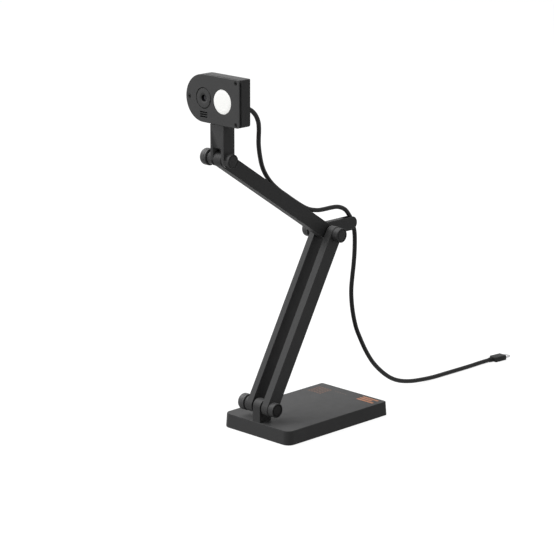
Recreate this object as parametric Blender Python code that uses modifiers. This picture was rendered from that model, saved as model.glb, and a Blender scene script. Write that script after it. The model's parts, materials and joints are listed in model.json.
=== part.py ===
"""A desk document camera: a weighted base, two arms on three clamped hinges, and a flat camera head.

+X runs along the hinge pins, with the clamping knobs at their -X ends. The lens looks along -Y and +Z is up.
The origin is the middle of the base's underside. Lengths are in metres and angles in degrees.
"""

import math

import bmesh
import bpy
from mathutils import Vector

# Driving dimensions
BASE_WIDTH = 0.088
BASE_DEPTH = 0.1375
BASE_HEIGHT = 0.0145
FOOT_RISE = 0.0143
LOWER_ARM_LENGTH = 0.1795
LOWER_ARM_ANGLE = 60.7
UPPER_ARM_LENGTH = 0.1669
UPPER_ARM_ANGLE = 146.2
STEM_RISE = 0.0334
HEAD_LENGTH = 0.0698
HEAD_HEIGHT = 0.0444
HEAD_DEPTH = 0.0143
CABLE_DIAMETER = 0.0044

# Fits: the gap between touching pieces, how far a cutter runs past a face, how far a joined shape sinks in
GAP = 0.0003
OVERRUN = 0.001
SINK = 0.001
MERGE = 0.000001
SMALLEST_RADIUS = 0.0004

# Base
BASE_FRONT_RADIUS = 0.007
BASE_REAR_RADIUS = 0.0026
BASE_EDGE = 0.0007
BASE_DRAFT = 0.001
BASE_WALL = 0.0022
BASE_ROOF = 0.0024
BASE_LIFT = 0.0004
PAD_THICKNESS = 0.0012
PAD_INSET = 0.0045
PLATE_THICKNESS = 0.0018
WEIGHT_THICKNESS = 0.006
WEIGHT_CLEARANCE = 0.001
BASE_SCREW_INSET = 0.0095
BASE_SCREW_RADIUS = 0.0013
BASE_SCREW_LENGTH = 0.0068
BASE_SCREW_HEAD_RADIUS = 0.0027
BASE_SCREW_HEAD = 0.0008
BASE_BOSS_RADIUS = 0.0035

# Hinges: the hubs' radii, the pin and what sits on it
HUB_RADIUS = 0.0076
KNUCKLE_SETBACK = 0.0005
ARM_THICKNESS = 0.0096
WASHER_THICKNESS = 0.0011
WASHER_RADIUS = 0.006
PIN_RADIUS = 0.0022
PIN_HEAD_RADIUS = 0.0038
PIN_HEAD = 0.0018
BUSH_WALL = 0.001
HUB_EDGE = 0.0006
LEFT_BOSS_RADIUS = 0.0073
RIGHT_BOSS_RADIUS = 0.0070
CAP_RADIUS = 0.0059
CAP_THICKNESS = 0.0012
CAP_SINK = 0.0002
CAP_GROOVE = 0.0003
KNOB_RADIUS = 0.008
KNOB_LENGTH = 0.0094
KNOB_SOCKET = 0.0055
KNOB_EDGE = 0.0032
KNOB_RELIEF = 0.0008

# Lower arm
LEFT_BAR_THICKNESS = 0.0068
LEFT_BOSS = 0.0036
RIGHT_BAR_THICKNESS = 0.0079
RIGHT_BOSS = 0.0068
TAIL_LENGTH = 0.0447
TAIL_HEIGHT = 0.0136
TAIL_INSET = 0.0002
CLIP_DEPTH = 0.019
BAR_EDGE = 0.0006

# Upper arm
UPPER_BAR_RADIUS = 0.0072

# Head and stem
HEAD_RIGHT = 0.0294
HEAD_SETBACK = 0.0004
HEAD_TOP_RADIUS = 0.0009
HEAD_BOTTOM_RADIUS = 0.0026
HEAD_WALL = 0.002
HEAD_EDGE = 0.0005
COVER_THICKNESS = 0.0015
REVEAL_WIDTH = 0.0015
REVEAL_DEPTH = 0.0012
LIP_WIDTH = 0.0016
STEM_WIDTH = 0.0177
STEM_SETBACK = 0.0001
NOTCH_RISE = 0.0115
NOTCH_SIDE_CLEARANCE = 0.00035
WRIST_LEFT_BOSS = 0.0049
WRIST_RIGHT_BOSS = 0.0057
WRIST_BOSS_RADIUS = 0.0066

# Camera, light and microphone in the head: heights from its middle, the microphone's from its lower edge
LENS_X = -0.0172
LENS_RISE = 0.0003
BEZEL_RADIUS = 0.0097
BEZEL_THICKNESS = 0.003
BEZEL_LAND = 0.0065
BEZEL_DISH = 0.0006
BEZEL_THROAT = 0.0046
GLASS_RADIUS = 0.0031
GLASS_THICKNESS = 0.0008
GLASS_CROWN = 0.0004
BARREL_RADIUS = 0.0072
BARREL_LENGTH = 0.0038
SENSOR_SIZE = 0.0085
SENSOR_THICKNESS = 0.0008
LED_X = 0.00735
LED_DROP = 0.0003
DIFFUSER_RADIUS = 0.0113
DIFFUSER_FLANGE = 0.0012
DIFFUSER_FLANGE_THICKNESS = 0.0008
LED_BOARD_RADIUS = 0.0115
LED_BOARD_THICKNESS = 0.001
LED_CHIP_SIZE = 0.0028
LED_CHIP_HEIGHT = 0.0005
LED_CHIPS = 4
LED_RING_RADIUS = 0.0055
MIC_SLOTS = 3
MIC_SLOT_LENGTH = 0.0098
MIC_SLOT_HEIGHT = 0.0014
MIC_SLOT_PITCH = 0.0021
MIC_RISE = 0.0093
MIC_RADIUS = 0.0024
MIC_DEPTH = 0.0014
BOARD_THICKNESS = 0.001
BOARD_SIDE_MARGIN = 0.0094
BOARD_EDGE_MARGIN = 0.0074
BOARD_STANDOFF = 0.0015
STANDOFF_RADIUS = 0.0015
STANDOFF_INSET = 0.0025
COVER_SCREW_HEAD_RADIUS = 0.0017
COVER_SCREW_HEAD = 0.0007
COVER_SCREW_RADIUS = 0.0008
COVER_SCREW_LENGTH = 0.0055
COVER_BOSS_RADIUS = 0.0026
COVER_SCREW_SIDE = 0.0046
COVER_SCREW_EDGE = 0.0031
COVER_SCREW_ROUND = 0.0044

# Cable: the relief on the head's back, where it leaves, and the plug at its far end
RELIEF_X = 0.01
RELIEF_DROP = 0.0095
RELIEF_LENGTH = 0.008
RELIEF_RADIUS = 0.0032
RELIEF_TIP_RADIUS = 0.0025
RELIEF_NECK_RADIUS = 0.0022
RELIEF_FLANGE_RADIUS = 0.0034
RELIEF_FLANGE = 0.0008
CORD_SPACING = 0.0092
PLUG_X = -0.00058
PLUG_Y = 0.2778
PLUG_HEADING = -5.9
PLUG_WIDTH = 0.0112
PLUG_BODY = 0.0152
PLUG_HEIGHT = 0.0056
PLUG_SLEEVE = 0.005
PLUG_SLEEVE_RADIUS = 0.0028
PLUG_SLEEVE_TIP = 0.0025
PLUG_LIFT = 0.0001
PLUG_EDGE = 0.0012
SHELL_WIDTH = 0.0083
SHELL_HEIGHT = 0.0025
SHELL_REACH = 0.0066
SHELL_ROOT = 0.0016
SHELL_WALL = 0.0003
TONGUE_WIDTH = 0.0066
TONGUE_THICKNESS = 0.0007
TONGUE_REACH = 0.0048

# Facets
HUB_STEPS = 32
SMALL_STEPS = 16
CORNER_STEPS = 6
ROUND_STEPS = 24

# Route points of the cable, chosen by hand, from the head down to the plug
HEAD_ROUTE = [
    (0.0100, -0.0951, 0.3243), (0.0100, -0.0900, 0.3241), (0.0096, -0.0833, 0.3213),
    (0.0082, -0.0762, 0.3155), (0.0066, -0.0712, 0.3082), (0.0050, -0.0689, 0.3010),
    (0.0034, -0.0676, 0.2938), (0.0017, -0.0661, 0.2872), (0.0000, -0.0637, 0.2796),
    (-0.0020, -0.0604, 0.2722), (-0.0044, -0.0562, 0.2646), (-0.0066, -0.0509, 0.2569),
    (-0.0082, -0.0441, 0.2487), (-0.0095, -0.0360, 0.2410), (-0.0099, -0.0270, 0.2338),
    (-0.0099, -0.0180, 0.2277),
]
ELBOW_ROUTE = [
    (-0.0099, -0.0177, 0.2275), (-0.0099, -0.0080, 0.2210), (-0.0099, 0.0020, 0.2147),
    (-0.0099, 0.0090, 0.2108), (-0.0099, 0.0158, 0.2080), (-0.0099, 0.0260, 0.2057),
    (-0.0099, 0.0355, 0.2052), (-0.0099, 0.0450, 0.2052), (-0.0099, 0.0534, 0.2045),
    (-0.0099, 0.0610, 0.2019), (-0.0099, 0.0662, 0.1983), (-0.0099, 0.0701, 0.1935),
    (-0.0099, 0.0728, 0.1898), (-0.0099, 0.0745, 0.1860),
]
DROP_ROUTE = [
    (-0.0099, 0.0748, 0.1852), (-0.0099, 0.0762, 0.1810), (-0.0097, 0.0775, 0.1767),
    (-0.0092, 0.0778, 0.1688), (-0.0086, 0.0770, 0.1561), (-0.0078, 0.0750, 0.1435),
    (-0.0075, 0.0729, 0.1310), (-0.0072, 0.0712, 0.1183), (-0.0069, 0.0716, 0.1052),
    (-0.0065, 0.0736, 0.0918), (-0.0062, 0.0776, 0.0778), (-0.0059, 0.0831, 0.0662),
    (-0.0056, 0.0913, 0.0514), (-0.0052, 0.1014, 0.0373), (-0.0049, 0.1136, 0.0254),
    (-0.0046, 0.1267, 0.0158), (-0.0043, 0.1400, 0.0096), (-0.0039, 0.1553, 0.0057),
    (-0.0036, 0.1706, 0.0037), (-0.0031, 0.1899, 0.0024), (-0.0026, 0.2089, 0.0023),
    (-0.0021, 0.2284, 0.0023), (-0.0018, 0.2482, 0.0023), (-0.0015, 0.2640, 0.0026),
    (-0.0009, 0.2740, 0.0028), (-0.0006, 0.2775, 0.0029),
]

# Places worked out from the sizes above
FOOT = Vector((0.0, -BASE_DEPTH / 2 + KNUCKLE_SETBACK + HUB_RADIUS, BASE_HEIGHT + FOOT_RISE))


def arm_end(start, length, angle):
    """The far axis of an arm that leaves its near axis at an angle above +Y."""
    turn = math.radians(angle)
    return start + Vector((0.0, length * math.cos(turn), length * math.sin(turn)))


ELBOW = arm_end(FOOT, LOWER_ARM_LENGTH, LOWER_ARM_ANGLE)
WRIST = arm_end(ELBOW, UPPER_ARM_LENGTH, UPPER_ARM_ANGLE)
PIN_BORE = PIN_RADIUS + GAP
BUSH_RADIUS = PIN_BORE + BUSH_WALL
BUSH_BORE = BUSH_RADIUS + GAP
BAR_INNER = ARM_THICKNESS / 2 + GAP + WASHER_THICKNESS + GAP
LEFT_BAR_FACE = -(BAR_INNER + LEFT_BAR_THICKNESS)
RIGHT_BAR_FACE = BAR_INNER + RIGHT_BAR_THICKNESS
ARM_LEFT_FACE = LEFT_BAR_FACE - LEFT_BOSS
ARM_RIGHT_FACE = RIGHT_BAR_FACE + RIGHT_BOSS
WRIST_LEFT_FACE = -(STEM_WIDTH / 2 + WRIST_LEFT_BOSS)
WRIST_RIGHT_FACE = STEM_WIDTH / 2 + WRIST_RIGHT_BOSS
TAIL_X = -(BAR_INNER + LEFT_BAR_THICKNESS / 2)
PLATE_LOW = PAD_THICKNESS + GAP
PLATE_TOP = PLATE_LOW + PLATE_THICKNESS
HEAD_MIDDLE = WRIST.z + STEM_RISE + HEAD_HEIGHT / 2
HEAD_FRONT = WRIST.y + HEAD_SETBACK - HEAD_DEPTH / 2
HEAD_BACK = HEAD_FRONT + HEAD_DEPTH
HEAD_ROUND_X = HEAD_RIGHT - HEAD_LENGTH + HEAD_HEIGHT / 2
COVER_BACK = HEAD_FRONT + COVER_THICKNESS
RIM_FRONT = COVER_BACK + REVEAL_WIDTH
BOARD_FRONT = HEAD_BACK - HEAD_WALL - BOARD_STANDOFF - GAP - BOARD_THICKNESS

COLOURS = {
    "shell_grey": ((0.055, 0.056, 0.058), 0.55, 0.0),
    "arm_grey": ((0.050, 0.051, 0.053), 0.52, 0.0),
    "knob_black": ((0.030, 0.030, 0.032), 0.45, 0.0),
    "head_grey": ((0.052, 0.053, 0.055), 0.5, 0.0),
    "lens_black": ((0.012, 0.012, 0.013), 0.3, 0.0),
    "lens_glass": ((0.010, 0.012, 0.018), 0.05, 0.0),
    "light_white": ((0.92, 0.92, 0.90), 0.4, 0.0),
    "board_green": ((0.02, 0.11, 0.05), 0.5, 0.0),
    "chip_black": ((0.015, 0.015, 0.016), 0.5, 0.0),
    "steel": ((0.55, 0.55, 0.56), 0.35, 1.0),
    "zinc": ((0.42, 0.43, 0.45), 0.5, 1.0),
    "bush_white": ((0.70, 0.69, 0.65), 0.5, 0.0),
    "pad_rubber": ((0.020, 0.020, 0.020), 0.9, 0.0),
    "cable_black": ((0.014, 0.014, 0.015), 0.5, 0.0),
}


def clear_scene():
    for obj in list(bpy.data.objects):
        bpy.data.objects.remove(obj, do_unlink=True)


def new_collection(name):
    group = bpy.data.collections.new(name)
    bpy.context.scene.collection.children.link(group)
    return group


def new_material(name):
    colour, roughness, metallic = COLOURS[name]
    material = bpy.data.materials.new(name)
    material.use_nodes = True
    shader = material.node_tree.nodes["Principled BSDF"]
    shader.inputs["Base Color"].default_value = (*colour, 1.0)
    shader.inputs["Roughness"].default_value = roughness
    shader.inputs["Metallic"].default_value = metallic
    return material


def hang(obj, parent):
    """Parents an object and leaves it where it stands."""
    bpy.context.view_layer.update()
    obj.parent = parent
    obj.matrix_parent_inverse = parent.matrix_world.inverted()


def new_axis(name, place, parent=None):
    """An empty on a hinge's axis, which carries the pieces that turn about it."""
    empty = bpy.data.objects.new(name, None)
    parts.objects.link(empty)
    empty.location = place
    if parent is not None:
        hang(empty, parent)
    return empty


def guide(obj):
    """Links a new shape among the cutters, which are not rendered."""
    cutters.objects.link(obj)
    obj.hide_render = True
    obj.display_type = "WIRE"
    return obj


def keep(obj, material, parent=None):
    """Moves a finished shape in among the parts, with its material, and hangs it on its parent."""
    cutters.objects.unlink(obj)
    parts.objects.link(obj)
    obj.hide_render = False
    obj.display_type = "TEXTURED"
    obj.data.materials.append(materials[material])
    if parent is not None:
        hang(obj, parent)
    return obj


# Shapes


def arc(centre, radius, start, end, steps):
    """Points on a round about a centre, from one angle to another."""
    first = math.radians(start)
    turn = math.radians(end - start) / steps
    angles = [first + i * turn for i in range(steps + 1)]
    return [(centre[0] + radius * math.cos(a), centre[1] + radius * math.sin(a)) for a in angles]


def stadium(start, end, radius, steps=HUB_STEPS // 2):
    """The outline of a bar with round ends, between two points."""
    angle = math.degrees(math.atan2(end[1] - start[1], end[0] - start[0]))
    far = arc(end, radius, angle - 90, angle + 90, steps)
    return far + arc(start, radius, angle + 90, angle + 270, steps)


def rounded_box(low, high, radii, inset=0.0):
    """A box's outline, anticlockwise from its low corner, with a radius for each corner."""
    front = [(low[0], low[1], 1, 1), (high[0], low[1], -1, 1)]
    back = [(high[0], high[1], -1, -1), (low[0], high[1], 1, -1)]
    points = []
    for turn, ((x, y, to_x, to_y), radius) in enumerate(zip(front + back, radii)):
        inner = max(radius - inset, SMALLEST_RADIUS)
        centre = (x + to_x * (inset + inner), y + to_y * (inset + inner))
        points += arc(centre, inner, 180 + 90 * turn, 270 + 90 * turn, CORNER_STEPS)
    return points


SLAB_TURNS = {"X": (90, 0, 90), "Y": (90, 0, 0), "Z": (0, 0, 0)}
TURNED_TURNS = {"X": (0, 90, 0), "Y": (-90, 0, 0), "Z": (0, 0, 0)}
PLACES = {"X": (None, 0, 1), "Y": (0, None, 1), "Z": (0, 1, None)}


def turn_to(obj, turns, along):
    obj.rotation_euler = [math.radians(angle) for angle in turns[along]]


def place_on(along, middle, across):
    """A point from its height along one axis and its two places across it, in the order of the axes."""
    index = "XYZ".index(along)
    point = list(across)
    point.insert(index, middle)
    return Vector(point)


def slab(name, outline, low, high, along):
    """A flat outline given thickness along one axis, as a mesh."""
    curve = bpy.data.curves.new(name + "_outline", "CURVE")
    curve.dimensions = "2D"
    curve.fill_mode = "BOTH"
    curve.extrude = (high - low) / 2
    spline = curve.splines.new("POLY")
    spline.points.add(len(outline) - 1)
    for point, (across, up) in zip(spline.points, outline):
        point.co = (across, up, 0.0, 1.0)
    spline.use_cyclic_u = True
    drawn = bpy.data.objects.new(name + "_outline", curve)
    cutters.objects.link(drawn)
    turn_to(drawn, SLAB_TURNS, along)
    drawn.location = place_on(along, (low + high) / 2, (0.0, 0.0))
    return as_mesh(name, drawn)


def drafted(name, low_outline, high_outline, low, high):
    """A block whose outline goes evenly from a lower one to an upper one with as many points."""
    mesh = bpy.data.meshes.new(name)
    work = bmesh.new()
    bottom = [work.verts.new((x, y, low)) for x, y in low_outline]
    top = [work.verts.new((x, y, high)) for x, y in high_outline]
    work.faces.new(reversed(bottom))
    work.faces.new(top)
    for i in range(len(bottom)):
        following = (i + 1) % len(bottom)
        work.faces.new((bottom[i], bottom[following], top[following], top[i]))
    work.to_mesh(mesh)
    work.free()
    return smooth(guide(bpy.data.objects.new(name, mesh)))


def as_mesh(name, drawn):
    """Turns a curve object into a closed mesh object in the same place."""
    bpy.context.view_layer.update()
    mesh = bpy.data.meshes.new_from_object(drawn.evaluated_get(bpy.context.evaluated_depsgraph_get()))
    place = drawn.matrix_world.copy()
    bpy.data.objects.remove(drawn, do_unlink=True)
    work = bmesh.new()
    work.from_mesh(mesh)
    bmesh.ops.remove_doubles(work, verts=work.verts, dist=MERGE)
    bmesh.ops.recalc_face_normals(work, faces=work.faces)
    work.to_mesh(mesh)
    work.free()
    obj = guide(bpy.data.objects.new(name, mesh))
    obj.matrix_world = place
    return obj


def rod(name, radius, low, high, across, along, steps=HUB_STEPS, far_radius=None):
    """A cylinder, or a cone with another radius at its high end, along one axis."""
    mesh = bpy.data.meshes.new(name)
    work = bmesh.new()
    far = radius if far_radius is None else far_radius
    bmesh.ops.create_cone(
        work, cap_ends=True, segments=steps, radius1=radius, radius2=far, depth=high - low
    )
    work.to_mesh(mesh)
    work.free()
    obj = guide(bpy.data.objects.new(name, mesh))
    turn_to(obj, TURNED_TURNS, along)
    obj.location = place_on(along, (low + high) / 2, across)
    return smooth(obj)


def block(name, low, high):
    """A box between two corners."""
    mesh = bpy.data.meshes.new(name)
    work = bmesh.new()
    bmesh.ops.create_cube(work, size=1.0)
    bmesh.ops.scale(work, verts=work.verts, vec=Vector(high) - Vector(low))
    work.to_mesh(mesh)
    work.free()
    obj = guide(bpy.data.objects.new(name, mesh))
    obj.location = (Vector(low) + Vector(high)) / 2
    return obj


def turned(name, profile, across, along, steps=HUB_STEPS, closed=False):
    """A profile of (radius, height), from the top down its outer side, turned about its axis."""
    mesh = bpy.data.meshes.new(name)
    edges = [(i, i + 1) for i in range(len(profile) - 1)]
    if closed:
        edges.append((len(profile) - 1, 0))
    mesh.from_pydata([(radius, 0.0, height) for radius, height in profile], edges, [])
    obj = guide(bpy.data.objects.new(name, mesh))
    turn_to(obj, TURNED_TURNS, along)
    obj.location = place_on(along, 0.0, across)
    screw = obj.modifiers.new("turn", "SCREW")
    screw.axis = "Z"
    screw.steps = steps
    screw.render_steps = steps
    screw.use_merge_vertices = True
    screw.merge_threshold = MERGE
    return obj


def ring(name, inner, outer, low, high, across, along, steps=HUB_STEPS):
    """A flat ring, washer or bush."""
    profile = [(outer, high), (outer, low), (inner, low), (inner, high)]
    return turned(name, profile, across, along, steps, True)


def smooth(obj):
    obj.data.shade_smooth()
    obj.data.set_sharp_from_angle(angle=math.radians(35))
    return obj


def soften(obj, width, segments=1):
    """Rounds or chamfers an object's sharp edges."""
    bevel = obj.modifiers.new("soft_edges", "BEVEL")
    bevel.limit_method = "ANGLE"
    bevel.angle_limit = math.radians(40)
    bevel.width = width
    bevel.segments = segments
    return obj


def combine(obj, other, operation):
    boolean = obj.modifiers.new(other.name, "BOOLEAN")
    boolean.operation = operation
    boolean.object = other
    return obj


def join(obj, other):
    return combine(obj, other, "UNION")


def cut(obj, other):
    return combine(obj, other, "DIFFERENCE")


# Base


def base_outline(inset):
    half_width = BASE_WIDTH / 2
    half_depth = BASE_DEPTH / 2
    radii = (BASE_FRONT_RADIUS, BASE_FRONT_RADIUS, BASE_REAR_RADIUS, BASE_REAR_RADIUS)
    return rounded_box((-half_width, -half_depth), (half_width, half_depth), radii, inset)


def base_screw_places():
    across = BASE_WIDTH / 2 - BASE_SCREW_INSET
    along = BASE_DEPTH / 2 - BASE_SCREW_INSET
    return [(-across, -along), (across, -along), (across, along), (-across, along)]


def base_shell():
    """The shell, open below, with the foot hinge's knuckle on its front edge and its screw bosses inside."""
    inside_top = BASE_HEIGHT - BASE_ROOF
    shell = drafted("base_shell", base_outline(-BASE_DRAFT), base_outline(0.0), BASE_LIFT, BASE_HEIGHT)
    soften(shell, BASE_EDGE, 2)
    cut(shell, slab("base_cavity", base_outline(BASE_WALL), BASE_LIFT - OVERRUN, inside_top, "Z"))
    round_top = arc((FOOT.y, FOOT.z), HUB_RADIUS, 0, 180, HUB_STEPS // 2)
    feet = [(FOOT.y - HUB_RADIUS, inside_top + SINK), (FOOT.y + HUB_RADIUS, inside_top + SINK)]
    knuckle = slab("knuckle_block", round_top + feet, -ARM_THICKNESS / 2, ARM_THICKNESS / 2, "X")
    join(shell, soften(knuckle, HUB_EDGE))
    reach = ARM_THICKNESS / 2 + OVERRUN
    cut(shell, rod("knuckle_bore", BUSH_BORE, -reach, reach, (FOOT.y, FOOT.z), "X"))
    boss_low = PLATE_TOP + GAP
    deep = PLATE_LOW + BASE_SCREW_LENGTH + OVERRUN
    for i, place in enumerate(base_screw_places()):
        boss = rod(f"base_boss_{i}", BASE_BOSS_RADIUS, boss_low, inside_top + SINK, place, "Z", SMALL_STEPS)
        join(shell, boss)
        pilot = rod(f"base_pilot_{i}", BASE_SCREW_RADIUS + GAP, PLATE_LOW, deep, place, "Z", SMALL_STEPS)
        cut(shell, pilot)
    keep(shell, "shell_grey")


def base_underside():
    """The plate that closes the shell, its screws, the weight on it and the pad that the camera stands on."""
    plate = slab("base_bottom_plate", base_outline(BASE_WALL + GAP), PLATE_LOW, PLATE_TOP, "Z")
    weight_low = PLATE_TOP + GAP
    weight_outline = base_outline(BASE_WALL + WEIGHT_CLEARANCE)
    weight = slab("base_weight", weight_outline, weight_low, weight_low + WEIGHT_THICKNESS, "Z")
    clear = BASE_BOSS_RADIUS + WEIGHT_CLEARANCE
    for i, place in enumerate(base_screw_places()):
        through = rod(f"plate_hole_{i}", BASE_SCREW_RADIUS + GAP, 0.0, weight_low, place, "Z", SMALL_STEPS)
        seat_top = PLATE_LOW + BASE_SCREW_HEAD + GAP
        seat = rod(f"plate_seat_{i}", BASE_SCREW_HEAD_RADIUS + GAP, 0.0, seat_top, place, "Z", SMALL_STEPS)
        cut(plate, through)
        cut(plate, seat)
        weight_high = weight_low + WEIGHT_THICKNESS + OVERRUN
        cut(weight, rod(f"weight_hole_{i}", clear, PLATE_LOW, weight_high, place, "Z", SMALL_STEPS))
        head_top = PLATE_LOW + BASE_SCREW_HEAD
        profile = [
            (0.0, PLATE_LOW + BASE_SCREW_LENGTH),
            (BASE_SCREW_RADIUS, PLATE_LOW + BASE_SCREW_LENGTH),
            (BASE_SCREW_RADIUS, head_top),
            (BASE_SCREW_HEAD_RADIUS, head_top),
            (BASE_SCREW_HEAD_RADIUS, PLATE_LOW),
            (0.0, PLATE_LOW),
        ]
        keep(turned(f"base_screw_{i + 1}", profile, place, "Z", SMALL_STEPS), "steel")
    keep(plate, "shell_grey")
    keep(weight, "zinc")
    keep(slab("base_pad", base_outline(PAD_INSET), 0.0, PAD_THICKNESS, "Z"), "pad_rubber")


# Hinges


def hinge_bush(name, axis, parent):
    reach = ARM_THICKNESS / 2
    keep(ring(name, PIN_BORE, BUSH_RADIUS, -reach, reach, (axis.y, axis.z), "X"), "bush_white", parent)


def hinge_washers(name, axis, parent):
    near = ARM_THICKNESS / 2 + GAP
    far = near + WASHER_THICKNESS
    for side, low, high in (("left", -far, -near), ("right", near, far)):
        washer = ring(f"{name}_washer_{side}", PIN_BORE, WASHER_RADIUS, low, high, (axis.y, axis.z), "X")
        keep(washer, "chip_black", parent)


def cap_floor(right_face):
    """The floor of the recess that an end cap sits in."""
    return right_face - CAP_SINK - CAP_THICKNESS - GAP


def pin_seat(right_face):
    """The floor of the pocket that the pin's head sits in, under the end cap."""
    return cap_floor(right_face) - GAP - PIN_HEAD - GAP


def hinge_pin(name, axis, left_face, right_face, parent):
    """A headed pin, from its pocket in the right boss to its blind end in the knob's socket."""
    head_low = pin_seat(right_face) + GAP
    tip = left_face - KNOB_SOCKET
    profile = [
        (0.0, head_low + PIN_HEAD),
        (PIN_HEAD_RADIUS, head_low + PIN_HEAD),
        (PIN_HEAD_RADIUS, head_low),
        (PIN_RADIUS, head_low),
        (PIN_RADIUS, tip),
        (0.0, tip),
    ]
    keep(turned(name, profile, (axis.y, axis.z), "X", SMALL_STEPS), "steel", parent)


def hinge_cap(name, axis, right_face, parent):
    """The disc that closes a hinge's right end, with a shallow ring groove in its face."""
    top = right_face - CAP_SINK
    rim = CAP_RADIUS - CAP_GROOVE
    land = CAP_RADIUS - 3 * CAP_GROOVE
    profile = [
        (0.0, top),
        (land, top),
        (land, top - CAP_GROOVE),
        (rim, top - CAP_GROOVE),
        (CAP_RADIUS, top - 2 * CAP_GROOVE),
        (CAP_RADIUS, top - CAP_THICKNESS),
        (0.0, top - CAP_THICKNESS),
    ]
    keep(turned(name, profile, (axis.y, axis.z), "X"), "knob_black", parent)


def hinge_knob(name, axis, left_face, parent):
    """A clamping knob with a domed end and a relief at its root, on the pin's blind end."""
    root = left_face - GAP
    end = root - KNOB_LENGTH
    socket = root - KNOB_SOCKET - GAP
    dome = arc((KNOB_RADIUS - KNOB_EDGE, end + KNOB_EDGE), KNOB_EDGE, 0, -90, CORNER_STEPS)
    profile = [
        (0.0, socket),
        (PIN_BORE, socket),
        (PIN_BORE, root),
        (KNOB_RADIUS - KNOB_RELIEF, root),
        (KNOB_RADIUS - KNOB_RELIEF, root - KNOB_RELIEF),
        (KNOB_RADIUS, root - 2 * KNOB_RELIEF),
    ]
    keep(turned(name, profile + dome + [(0.0, end)], (axis.y, axis.z), "X"), "knob_black", parent)


def drill_hinge(obj, name, axis, low, high, radius=PIN_BORE, steps=SMALL_STEPS):
    cut(obj, rod(name, radius, low - OVERRUN, high + OVERRUN, (axis.y, axis.z), "X", steps))


def cut_cap_seat(obj, name, axis, right_face):
    """The recess for an end cap in a boss's right face, and the pocket for the pin's head below it."""
    place = (axis.y, axis.z)
    high = right_face + OVERRUN
    seat = pin_seat(right_face)
    cut(obj, rod(f"{name}_recess", CAP_RADIUS + GAP, cap_floor(right_face), high, place, "X"))
    cut(obj, rod(f"{name}_pocket", PIN_HEAD_RADIUS + GAP, seat, high, place, "X", SMALL_STEPS))


# Lower arm


def lower_bar_left(parent):
    """The left bar, its hubs on the knob side, and the tail whose slotted end holds the cable."""
    ends = [(FOOT.y, FOOT.z), (ELBOW.y, ELBOW.z)]
    bar = slab("lower_bar_left", stadium(*ends, HUB_RADIUS), LEFT_BAR_FACE, -BAR_INNER, "X")
    soften(bar, BAR_EDGE)
    half_height = TAIL_HEIGHT / 2
    tail_end = (ELBOW.y + TAIL_LENGTH, ELBOW.z)
    tail_outline = stadium(ends[1], tail_end, half_height, HUB_STEPS // 4)
    tail = slab("tail_block", tail_outline, LEFT_BAR_FACE + TAIL_INSET, -BAR_INNER - TAIL_INSET, "X")
    join(bar, soften(tail, BAR_EDGE))
    slot_half = CABLE_DIAMETER / 2 + GAP
    low = (TAIL_X - slot_half, tail_end[0] + half_height - CLIP_DEPTH, ELBOW.z - half_height - OVERRUN)
    high = (TAIL_X + slot_half, tail_end[0] + half_height + OVERRUN, ELBOW.z + half_height + OVERRUN)
    cut(bar, block("clip_slot", low, high))
    for name, axis in (("foot", FOOT), ("elbow", ELBOW)):
        place = (axis.y, axis.z)
        boss = rod(f"{name}_left_boss", LEFT_BOSS_RADIUS, ARM_LEFT_FACE, LEFT_BAR_FACE + SINK, place, "X")
        join(bar, soften(boss, HUB_EDGE))
        drill_hinge(bar, f"{name}_left_bore", axis, ARM_LEFT_FACE, -BAR_INNER)
    keep(bar, "arm_grey", parent)


def lower_bar_right(parent):
    """The right bar, with a hub at each end that holds a pin's head under an end cap."""
    ends = [(FOOT.y, FOOT.z), (ELBOW.y, ELBOW.z)]
    bar = slab("lower_bar_right", stadium(*ends, HUB_RADIUS), BAR_INNER, RIGHT_BAR_FACE, "X")
    soften(bar, BAR_EDGE)
    for name, axis in (("foot", FOOT), ("elbow", ELBOW)):
        place = (axis.y, axis.z)
        boss = rod(f"{name}_right_boss", RIGHT_BOSS_RADIUS, RIGHT_BAR_FACE - SINK, ARM_RIGHT_FACE, place, "X")
        join(bar, soften(boss, HUB_EDGE / 2))
        cut_cap_seat(bar, f"{name}_right", axis, ARM_RIGHT_FACE)
        drill_hinge(bar, f"{name}_right_bore", axis, BAR_INNER, ARM_RIGHT_FACE)
    keep(bar, "arm_grey", parent)


# Upper arm


def upper_arm_bar(parent):
    ends = [(ELBOW.y, ELBOW.z), (WRIST.y, WRIST.z)]
    reach = ARM_THICKNESS / 2
    bar = slab("upper_arm_bar", stadium(*ends, UPPER_BAR_RADIUS), -reach, reach, "X")
    soften(bar, BAR_EDGE)
    for name, axis in (("elbow", ELBOW), ("wrist", WRIST)):
        drill_hinge(bar, f"{name}_bush_bore", axis, -reach, reach, BUSH_BORE, HUB_STEPS)
    keep(bar, "arm_grey", parent)


# Head


def head_outline(inset):
    """The head seen from the front: a half round on the left and two small corners on the right."""
    radius = HEAD_HEIGHT / 2 - inset
    right = HEAD_RIGHT - inset
    lower = max(HEAD_BOTTOM_RADIUS - inset, SMALLEST_RADIUS)
    upper = max(HEAD_TOP_RADIUS - inset, SMALLEST_RADIUS)
    points = arc((HEAD_ROUND_X, HEAD_MIDDLE), radius, 90, 270, ROUND_STEPS)
    points += arc((right - lower, HEAD_MIDDLE - radius + lower), lower, 270, 360, CORNER_STEPS)
    points += arc((right - upper, HEAD_MIDDLE + radius - upper), upper, 0, 90, CORNER_STEPS)
    return points


def cover_screw_places():
    """Two screws at the right corners and one at the middle of the round."""
    reach = HEAD_HEIGHT / 2 - COVER_SCREW_EDGE
    right = HEAD_RIGHT - COVER_SCREW_SIDE
    left = HEAD_RIGHT - HEAD_LENGTH + COVER_SCREW_ROUND
    return [(right, HEAD_MIDDLE + reach), (right, HEAD_MIDDLE - reach), (left, HEAD_MIDDLE)]


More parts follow.
